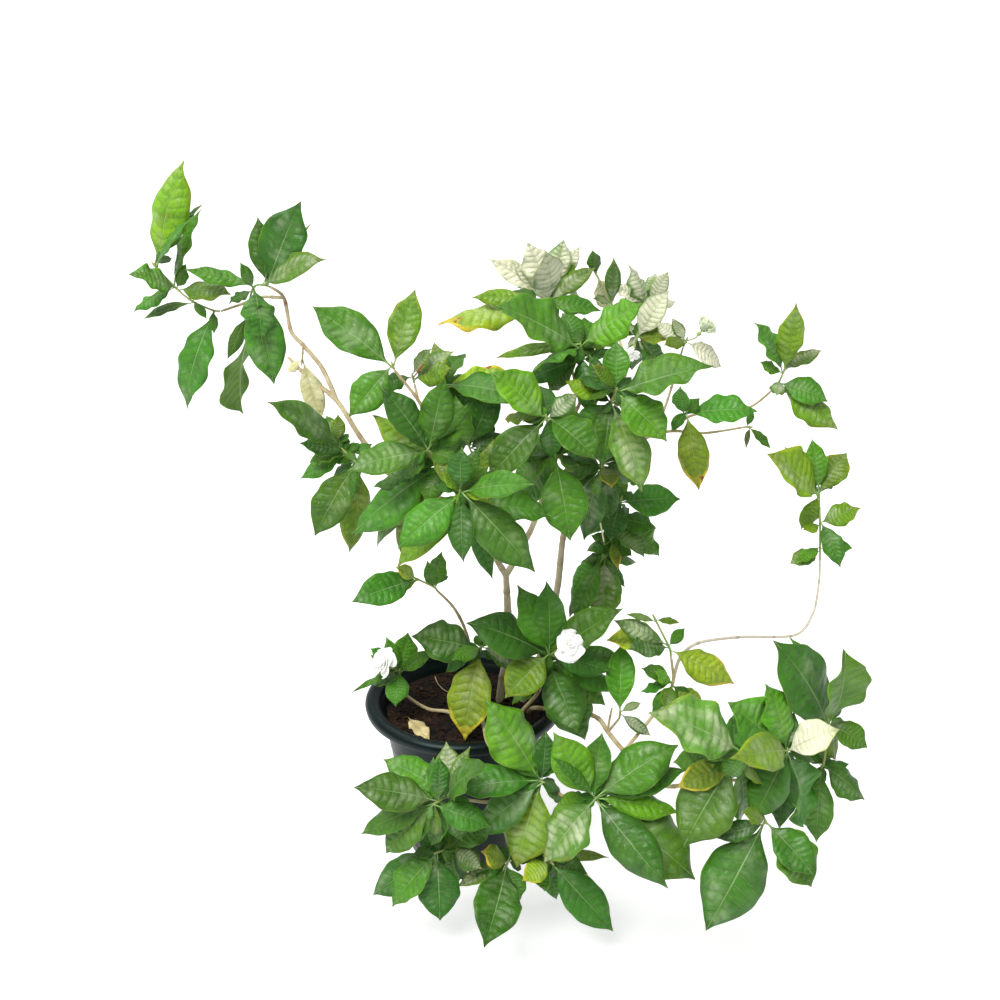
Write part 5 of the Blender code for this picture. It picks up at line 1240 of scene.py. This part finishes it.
def makeShoot(shoot):
    whole = newShape()
    points = twigPoints(shoot)
    beyond = fit["nodeSpread"] * 1.5 + shootLook["beyond"]
    points.append(points[-1] + (points[-1] - points[-2]).normalized() * beyond)
    first = shootRadius(shoot)
    last = len(points) - 1

    def twigRadius(metres, share):
        offs = [(share - i / last) * last / shootLook["knuckle"] for i in range(1, last)]
        knuckle = max([math.exp(-off ** 2) for off in offs])
        radius = first + (fit["twigRadius"] - first) * share
        tip = 1 - max(0, share * last - last + 1) ** 3 * shootLook["tip"]
        return radius * (1 + shootLook["swell"] * knuckle) * tip, knuckle

    addRod(whole, smoothPath(points, shootLook["step"]), shootLook["sides"], twigRadius, 3)
    for name in blooms:
        if blooms[name][0] == shoot:
            addStalk(whole, name)
    for leaf in found[shoot]:
        addLeaf(whole, leaf)
    if shoot in tipBuds:
        addTipBud(whole, shoot)
    if shoot == "withered_leaf":
        finishPiece(whole, shoot + "_foliage", [witheredPale] * 3 + [stemBark], [shoot])
    else:
        finishPiece(whole, shoot + "_foliage", [leafTop, leafUnder, leafStalk, greenTwig, budScale],
                    [shoot])


for shoot in shoots:
    makeShoot(shoot)
print("foliage made")

woodLook = {"step": 0.005, "ringEvery": 0.037, "ringWidth": 0.0016, "ringSwell": 0.16, "uneven": 0.10,
            "wider": 1.32, "end": 1.05, "thick": 2.5, "sides": 10, "thickSides": 14}
# These limbs' own (faded, wider, scarred)
specialLimbs = {"trunk": (0.4, 1.5, 0), "leftFork": (0.3, 1.45, 0), "rightFork": (0.3, 1.45, 0),
                "longThin": (0.8, 1.45, 0), "longBranch": (0.1, 1.65, 1), "secondBranch": (0.15, 1.7, 1),
                "farBranch": (0.1, 1.5, 1)}


def makeStem(stem):
    whole = newShape()
    draw = random.Random(stem)
    for limb, (first, last, places) in stems[stem][1].items():
        shift = draw.uniform(0, woodLook["ringEvery"])
        where = draw.uniform(0, 50)
        faded, wider, scarred = specialLimbs.get(limb, (0, woodLook["wider"], 0))

        def limbRadius(metres, share):
            off = (metres + shift) % woodLook["ringEvery"]
            off = min(off, woodLook["ringEvery"] - off)
            ring = math.exp(-(off / woodLook["ringWidth"]) ** 2)
            grain = noise.noise(Vector((metres * 60 + where, where, 0)))
            radius = (first + (last - first) * share) / 1000
            radius *= wider - (wider - woodLook["end"]) * share ** 8
            return radius * (1 + woodLook["ringSwell"] * ring + woodLook["uneven"] * grain), ring

        sides = woodLook["thickSides"] if first > woodLook["thick"] else woodLook["sides"]
        addRod(whole, smoothPath(limbPoints(stem, limb), woodLook["step"]), sides, limbRadius,
               tint=(faded, scarred, 0, 1))
    finishPiece(whole, stem + "_wood", [stemBark], [stem])


for stem in stems:
    makeStem(stem)
print("wood made")

petalOutline = ((0, 0.16), (0.16, 0.42), (0.35, 0.80), (0.60, 1.06), (0.80, 1.06), (0.93, 0.86),
                (1, 0.58))
petalLook = {"rows": 12, "columns": 10, "veins": 0, "slant": 0.0, "quilt": 0.0, "ruffle": 0.030,
             "frills": 2.2, "jag": 0.03, "droop": 0.0, "nod": 0.0, "nodAt": 0.75, "thick": 0.0005}
sepalLook = dict(petalLook, rows=6, columns=4, ruffle=0.0)
petalBlade = {"arch": 0.12, "waves": 2.2, "wave": 0.07, "least": 0.0012, "outline": petalOutline,
              "foot": 0.0}
sepalBlade = {"length": 0.006, "width": 0.0028, "arch": 0.10, "fold": 0.2, "twist": 0.0, "waves": 1,
              "phase": 0, "wave": 0, "least": 0.0006, "outline": leafOutline, "foot": 0.0}
# From outside to inside: (petals, share of the radius, angle above level, how high up the tube)
whorls = {"open": ((5, 1.0, 0.12, 0.1), (5, 0.90, 0.52, 0.35), (4, 0.70, 0.95, 0.6),
                   (3, 0.46, 1.25, 0.8)),
          "cup": ((5, 0.92, 0.30, 0.15), (5, 0.86, 0.62, 0.35), (5, 0.68, 0.95, 0.6),
                  (3, 0.46, 1.25, 0.8)),
          "small": ((5, 1.0, 0.35, 0.3), (4, 0.7, 0.8, 0.5), (3, 0.5, 1.2, 0.7)),
          "bud": ((5, 1.38, 1.12, -0.6), (5, 1.26, 1.28, -0.3), (4, 1.05, 1.42, 0.0))}
bloomLook = {"slim": {"bloom_front": 0.30}, "budArch": -0.34, "sepals": 5, "tube": 0.0016, "below": 0.25,
             "depth": 0.35, "slender": 0.0012, "sepalFoot": (0.001, 0.0012),
             "sepalTip": (0.0065, 0.0030), "loose": 0.12, "petalFoot": 0.12}


def makeSlenderBud(name, start, axis, reach):
    def budRadius(metres, share):
        swell = 1 + 1.9 * math.exp(-((share - 0.84) / 0.11) ** 2)
        return bloomLook["slender"] * swell * (1 - max(0, share - 0.93) * 9), 0

    whole = newShape()
    addRod(whole, straightPath(start, axis, reach, 24), 12, budRadius)
    finishPiece(whole, name + "_flower", [budCream, sepalGreen], [name])


def makeBloom(name):
    shoot, node, end, middle, radius, kind = blooms[name]
    start = seen(*end)
    reach = (seen(*middle) - start).length
    axis = (seen(*middle) - start).normalized()
    if kind == "slender":
        makeSlenderBud(name, start, axis, reach)
        return
    draw = random.Random(name)
    side = axis.orthogonal().normalized()
    whole = newShape()
    below, depth = radius * bloomLook["below"], radius * bloomLook["depth"]

    def tubeRadius(metres, share):
        tube = bloomLook["tube"]
        return tube + (radius * 0.24 - tube) * max(0, share - 0.45) ** 1.6 * 2.4, 0

    addRod(whole, straightPath(start, axis, reach - below + depth, 16), 14, tubeRadius, 1)
    for i in range(bloomLook["sepals"]):
        out = Quaternion(axis, math.tau * i / bloomLook["sepals"]) @ side
        base, tip = [start + axis * up + out * over for up, over in (bloomLook["sepalFoot"],
                                                                     bloomLook["sepalTip"])]
        sepal = dict(sepalBlade, base=base, tip=tip, face=out)
        addBlade(whole, sepal, sepalLook, white, white, (1, 1))
    tubeEnd = start + axis * (reach - below)
    loose = bloomLook["loose"]
    for count, size, rise, level in whorls[kind]:
        for i in range(count):
            angle = math.tau * (i + rise + draw.uniform(-loose, loose)) / count
            out = Quaternion(axis, angle) @ side
            lean = rise + draw.uniform(-loose, loose)
            way = (out * math.cos(lean) + axis * math.sin(lean)).normalized()
            length = radius * size * draw.uniform(0.92, 1.05)
            length *= 1 - bloomLook["slim"].get(name, 0) * abs(out.x)  # shorter to the left and right
            base = tubeEnd + axis * depth * level
            base += out * radius * bloomLook["petalFoot"] * (1 - level * 0.7)
            petal = dict(petalBlade, base=base, tip=base + way * length, length=length,
                         face=Quaternion(way, 0.3) @ (axis * math.cos(lean) - out * math.sin(lean)),
                         width=radius * size * draw.uniform(1.02, 1.22), fold=draw.uniform(0.1, 0.3),
                         twist=draw.uniform(-0.2, 0.3), phase=draw.uniform(0, math.tau))
            if kind == "bud":
                petal["arch"] = bloomLook["budArch"]
            addBlade(whole, petal, petalLook, white, white, (0, 0))
    petalSkin = budPetal if kind == "bud" else petalWhite
    finishPiece(whole, name + "_flower", [petalSkin, sepalGreen], [name])


for name in blooms:
    makeBloom(name)
print("flowers made")

potLook = {"height": 0.260, "rim": 0.150, "lip": 0.017, "crest": 0.1395, "mouth": 0.1275, "neck": 0.122,
           "foot": 0.088, "wall": 0.0026, "floor": 0.004, "drain": 0.007, "drains": 4, "steps": 112,
           "drainHeight": 0.012, "drainReach": 0.015, "sharp": 38}


def bodyRadius(height):
    spread = (potLook["neck"] - potLook["foot"]) * height / (potLook["height"] - potLook["lip"])
    return potLook["foot"] + spread


# Spin a (radius, height) line into a closed round body
def spun(profile, steps):
    bm = newShape()
    line = [bm.verts.new((radius, 0, height)) for radius, height in profile]
    edges = [bm.edges.new(pair) for pair in zip(line[:-1], line[1:])]
    bmesh.ops.spin(bm, geom=line + edges, cent=(0, 0, 0), axis=(0, 0, 1), angle=math.tau, steps=steps,
                   use_merge=True)
    bmesh.ops.remove_doubles(bm, verts=bm.verts, dist=0.00002)
    bmesh.ops.dissolve_degenerate(bm, dist=0.000001, edges=bm.edges)
    bmesh.ops.recalc_face_normals(bm, faces=bm.faces)
    return bm


# The pot's line: up the outside from the crest of the lip to the foot, then up the inside
def potProfile():
    rim, mouth, crest, height = potLook["rim"], potLook["mouth"], potLook["crest"], potLook["height"]
    foot, floor, lipFoot = potLook["foot"], potLook["floor"], height - potLook["lip"]
    lip = [(crest - 0.002, height - 0.0002), (crest, height), (crest + 0.002, height - 0.0003),
           (rim - 0.0045, height - 0.0021), (rim - 0.0022, height - 0.0040),
           (rim - 0.0006, height - 0.0066), (rim, height - 0.0095), (rim - 0.0014, lipFoot + 0.0012),
           (rim - 0.0020, lipFoot + 0.0002), (rim - 0.0028, lipFoot), (rim - 0.0046, lipFoot + 0.0004),
           (rim - 0.0058, lipFoot + 0.0070), (rim - 0.0072, lipFoot + 0.0079),
           (mouth + 0.004, lipFoot + 0.0075)]
    body = [(bodyRadius(level) + extra, level) for level, extra in (
        (lipFoot - 0.002, 0.0004), (lipFoot - 0.012, 0), (0.19, 0), (0.187, 0.0006), (0.183, 0.0006),
        (0.180, 0), (0.12, 0), (0.06, 0), (0.030, 0), (0.027, -0.0006), (0.006, -0.0004),
        (0.0025, -0.0010))]
    base = [(foot - 0.0035, 0), (0.062, 0), (0.060, 0.0012), (0, 0.0012)]
    inside = [(0, floor), (foot - 0.006, floor), (foot - 0.004, floor + 0.002)]
    for level in (0.03, 0.12, 0.20, fit["soilTop"]):
        inside.append((bodyRadius(level) - potLook["wall"], level))
    inside += [(mouth - 0.0012, height - 0.016), (mouth, height - 0.008),
               (mouth + 0.003, height - 0.0045)]
    return lip + body + base + inside + lip[:1]


def makeDrains():
    cutters = newShape()
    for i in range(potLook["drains"]):
        angle = math.tau * (i + 0.5) / potLook["drains"]
        out = Vector((math.cos(angle), math.sin(angle), 0))
        way = Vector((out.x, out.y, 0.25)).normalized() * potLook["drainReach"]
        middle = out * (potLook["foot"] + 0.001)
        middle.z = potLook["drainHeight"]
        addTaper(cutters, [(middle - way, 0), (middle + way, 1)], 24, potLook["drain"], potLook["drain"])
    return placeMesh(cutters, "drains")


def makePot():
    made = finishPiece(spun(potProfile(), potLook["steps"]), "pot_shell", [potPlastic], ["pot"])
    cutter = makeDrains()
    holes = made.modifiers.new("drains", "BOOLEAN")
    holes.operation = "DIFFERENCE"
    holes.solver = "EXACT"
    holes.object = cutter
    bpy.context.view_layer.update()
    baked = bpy.data.meshes.new_from_object(made.evaluated_get(bpy.context.evaluated_depsgraph_get()))
    made.modifiers.clear()
    made.data = baked
    bpy.data.objects.remove(cutter, do_unlink=True)
    smoothAll(baked)
    baked.set_sharp_from_angle(angle=math.radians(potLook["sharp"]))


makePot()
print("pot made")

soilLook = {"steps": 120, "rings": 34, "chips": 760, "fibres": 150, "bump": 0.0020, "seed": 23,
            "lower": 0.001, "edge": 0.120, "chipEdge": 0.004, "fibreEdge": 0.012, "large": 0.14}


def soilHeight(x, y):
    reach = math.hypot(x, y)
    rough = noise.fractal(Vector((x * 90, y * 90, 3)), 1.0, 2.0, 4) * soilLook["bump"]
    rough += noise.noise(Vector((x * 26, y * 26, 7))) * soilLook["bump"] * 0.8
    return fit["soilTop"] - soilLook["lower"] + rough * clamped((soilLook["edge"] - reach) * 60)


# A chance place within a reach of the pot's middle
def soilSpot(draw, edge):
    angle, reach = draw.uniform(0, math.tau), edge * math.sqrt(draw.random())
    return Vector((math.cos(angle) * reach, math.sin(angle) * reach, 0))


def addChip(whole, draw, edge):
    part = newShape()
    bmesh.ops.create_icosphere(part, subdivisions=1, radius=1)
    size = draw.uniform(0.0010, 0.0026) * (2.0 if draw.random() < soilLook["large"] else 1)
    spot = soilSpot(draw, edge - soilLook["chipEdge"])
    for vert in part.verts:
        vert.co *= 1 + draw.uniform(-0.25, 0.25)
    shape = Matrix.Diagonal((size * draw.uniform(0.8, 2.0), size, size * draw.uniform(0.4, 0.8), 1))
    turn = Quaternion((draw.uniform(-0.5, 0.5), draw.uniform(-0.5, 0.5), 1), draw.uniform(0, math.tau))
    place = Matrix.Translation((spot.x, spot.y, soilHeight(spot.x, spot.y) + size * 0.15))
    bmesh.ops.transform(part, matrix=place @ turn.to_matrix().to_4x4() @ shape, verts=part.verts)
    for face in part.faces:
        face.material_index = 1 if draw.random() < 0.5 else 0
    addShape(whole, part)


def addFibre(whole, draw, edge):
    spot = soilSpot(draw, edge - soilLook["fibreEdge"])
    turn = draw.uniform(0, math.tau)
    path = []
    for k in range(5):
        turn += draw.uniform(-0.5, 0.5)
        height = soilHeight(spot.x, spot.y) + draw.uniform(0, 0.0012)
        path.append((Vector((spot.x, spot.y, height)), k / 4))
        spot = spot + Vector((math.cos(turn), math.sin(turn), 0)) * draw.uniform(0.0012, 0.003)
        if spot.length > edge - soilLook["chipEdge"]:
            spot = spot * 0.95
    thin = draw.uniform(0.00018, 0.0004)
    addTaper(whole, path, 4, thin * 1.1, thin * 0.6, 1)


def makeSoil():
    wall = potLook["wall"] + fit["gap"]
    edge = bodyRadius(fit["soilTop"]) - wall - 0.0003
    low = potLook["floor"] + fit["gap"]
    profile = [(edge * i / soilLook["rings"], fit["soilTop"]) for i in range(soilLook["rings"])]
    profile += [(edge, fit["soilTop"] - 0.001), (bodyRadius(0.12) - wall, 0.12),
                (bodyRadius(0.03) - wall, 0.03), (potLook["foot"] - 0.0045, low + 0.002),
                (potLook["foot"] - 0.0065, low), (0, low)]
    whole = spun(profile, soilLook["steps"])
    for vert in whole.verts:
        if vert.co.z > fit["soilTop"] - 0.0005:
            vert.co.z = soilHeight(vert.co.x, vert.co.y)
    draw = random.Random(soilLook["seed"])
    for i in range(soilLook["chips"]):
        addChip(whole, draw, edge)
    for i in range(soilLook["fibres"]):
        addFibre(whole, draw, edge)
    finishPiece(whole, "soil_bed", [soilMix, soilChip], ["soil"])


makeSoil()
print("soil made")

looseLook = {"leafRise": 0.012, "leafSpots": ((408, 711), (429, 734)), "leafSeen": 24,
             "leafChanges": {"width": 0.024, "fold": 0.35, "wave": 0.10, "arch": 0.05},
             "leafRest": 0.0004, "rootRise": 0.008, "rootStep": 0.002, "rootRest": 0.0002,
             "rootSpots": ((435, 673), (438, 680), (444, 686), (452, 690))}
dryLook = dict(leafLook, quilt=0.012, ruffle=0.06, rows=24, veins=8)


# Lower a piece until it rests just above the soil
def letDown(bm, rest):
    drop = min(vert.co.z - soilHeight(vert.co.x, vert.co.y) for vert in bm.verts)
    bmesh.ops.translate(bm, verts=bm.verts, vec=(0, 0, rest - drop))


def makeDryLeaf():
    draw = random.Random(fit["seed"] + 2)
    level = fit["soilTop"] + looseLook["leafRise"]
    base, tip = [seenAtHeight(*spot, level) for spot in looseLook["leafSpots"]]
    blade = leafBlade(base, tip, looseLook["leafSeen"], draw, 0, Vector((0.1, -0.1, 1)).normalized())
    blade.update(looseLook["leafChanges"])
    whole = newShape()
    addBlade(whole, blade, dryLook, white, black)
    rib = [(bladePoint(blade, i / 12 * 0.98, 0)[0], i / 12) for i in range(13)]
    addTaper(whole, rib, 6, 0.0007, 0.0002, 1)
    letDown(whole, looseLook["leafRest"])
    finishPiece(whole, "fallen_leaf", [dryTan, dryTan], ["dry_leaf"])


def makeRootlet():
    whole = newShape()
    level = fit["soilTop"] + looseLook["rootRise"]
    points = [seenAtHeight(*spot, level) for spot in looseLook["rootSpots"]]
    addTaper(whole, smoothPath(points, looseLook["rootStep"]), 8, 0.0007, 0.0005)
    letDown(whole, looseLook["rootRest"])
    finishPiece(whole, "thin_root", [stemBark], ["rootlet"])


makeDryLeaf()
makeRootlet()
print("loose pieces made")

stageLook = {"floor": 60.0, "floorGlow": 0.56, "world": 0.56, "backdrop": 1.05, "sun": 4.0,
             "softness": 36, "key": 30, "keyPlace": (-1.1, 1.2, 2.7), "keyTarget": (0, 0, 0.5),
             "keySize": 1.4, "sunWay": (0.35, 0.45, -1)}


def makeFloor():
    bm = bmesh.new()
    bmesh.ops.create_grid(bm, x_segments=2, y_segments=2, size=stageLook["floor"])
    made = placeMesh(bm, "floor")
    material, tree = newMaterial("paleFloor", Roughness=0.7, Emission_Color=white,
                                 Emission_Strength=stageLook["floorGlow"])
    colour = layOver((0.54, 0.54, 0.54, 1), (0.56, 0.56, 0.56, 1), noiseAt(objectPlace(tree), 3.0, 2.0))
    tree.links.new(colour, tree.nodes["Principled BSDF"].inputs["Base Color"])
    made.data.materials.append(material)


def addLight(name, kind, power, way, **settings):
    data = bpy.data.lights.new(name, kind)
    data.energy = power
    for setting, value in settings.items():
        setattr(data, setting, value)
    made = placeObject(name, data)
    made.rotation_euler = Vector(way).to_track_quat("-Z", "Y").to_euler()
    return made


def makeWorld():
    world = bpy.data.worlds.new("room")
    world.use_nodes = True
    tree = world.node_tree
    background = tree.nodes["Background"]
    seenWhite = addNode(tree, "ShaderNodeLightPath").outputs["Is Camera Ray"]
    glow = scaled(seenWhite, stageLook["backdrop"] - stageLook["world"], stageLook["world"])
    background.inputs[0].default_value = white
    tree.links.new(glow, background.inputs[1])
    bpy.context.scene.world = world


def makeStage():
    makeFloor()
    keyWay = Vector(stageLook["keyTarget"]) - Vector(stageLook["keyPlace"])
    key = addLight("keyLight", "AREA", stageLook["key"], keyWay, shape="DISK", size=stageLook["keySize"])
    key.location = stageLook["keyPlace"]
    addLight("daylight", "SUN", stageLook["sun"], stageLook["sunWay"],
             angle=math.radians(stageLook["softness"]))
    makeWorld()
    bpy.context.scene.view_settings.view_transform = "Standard"


makeStage()
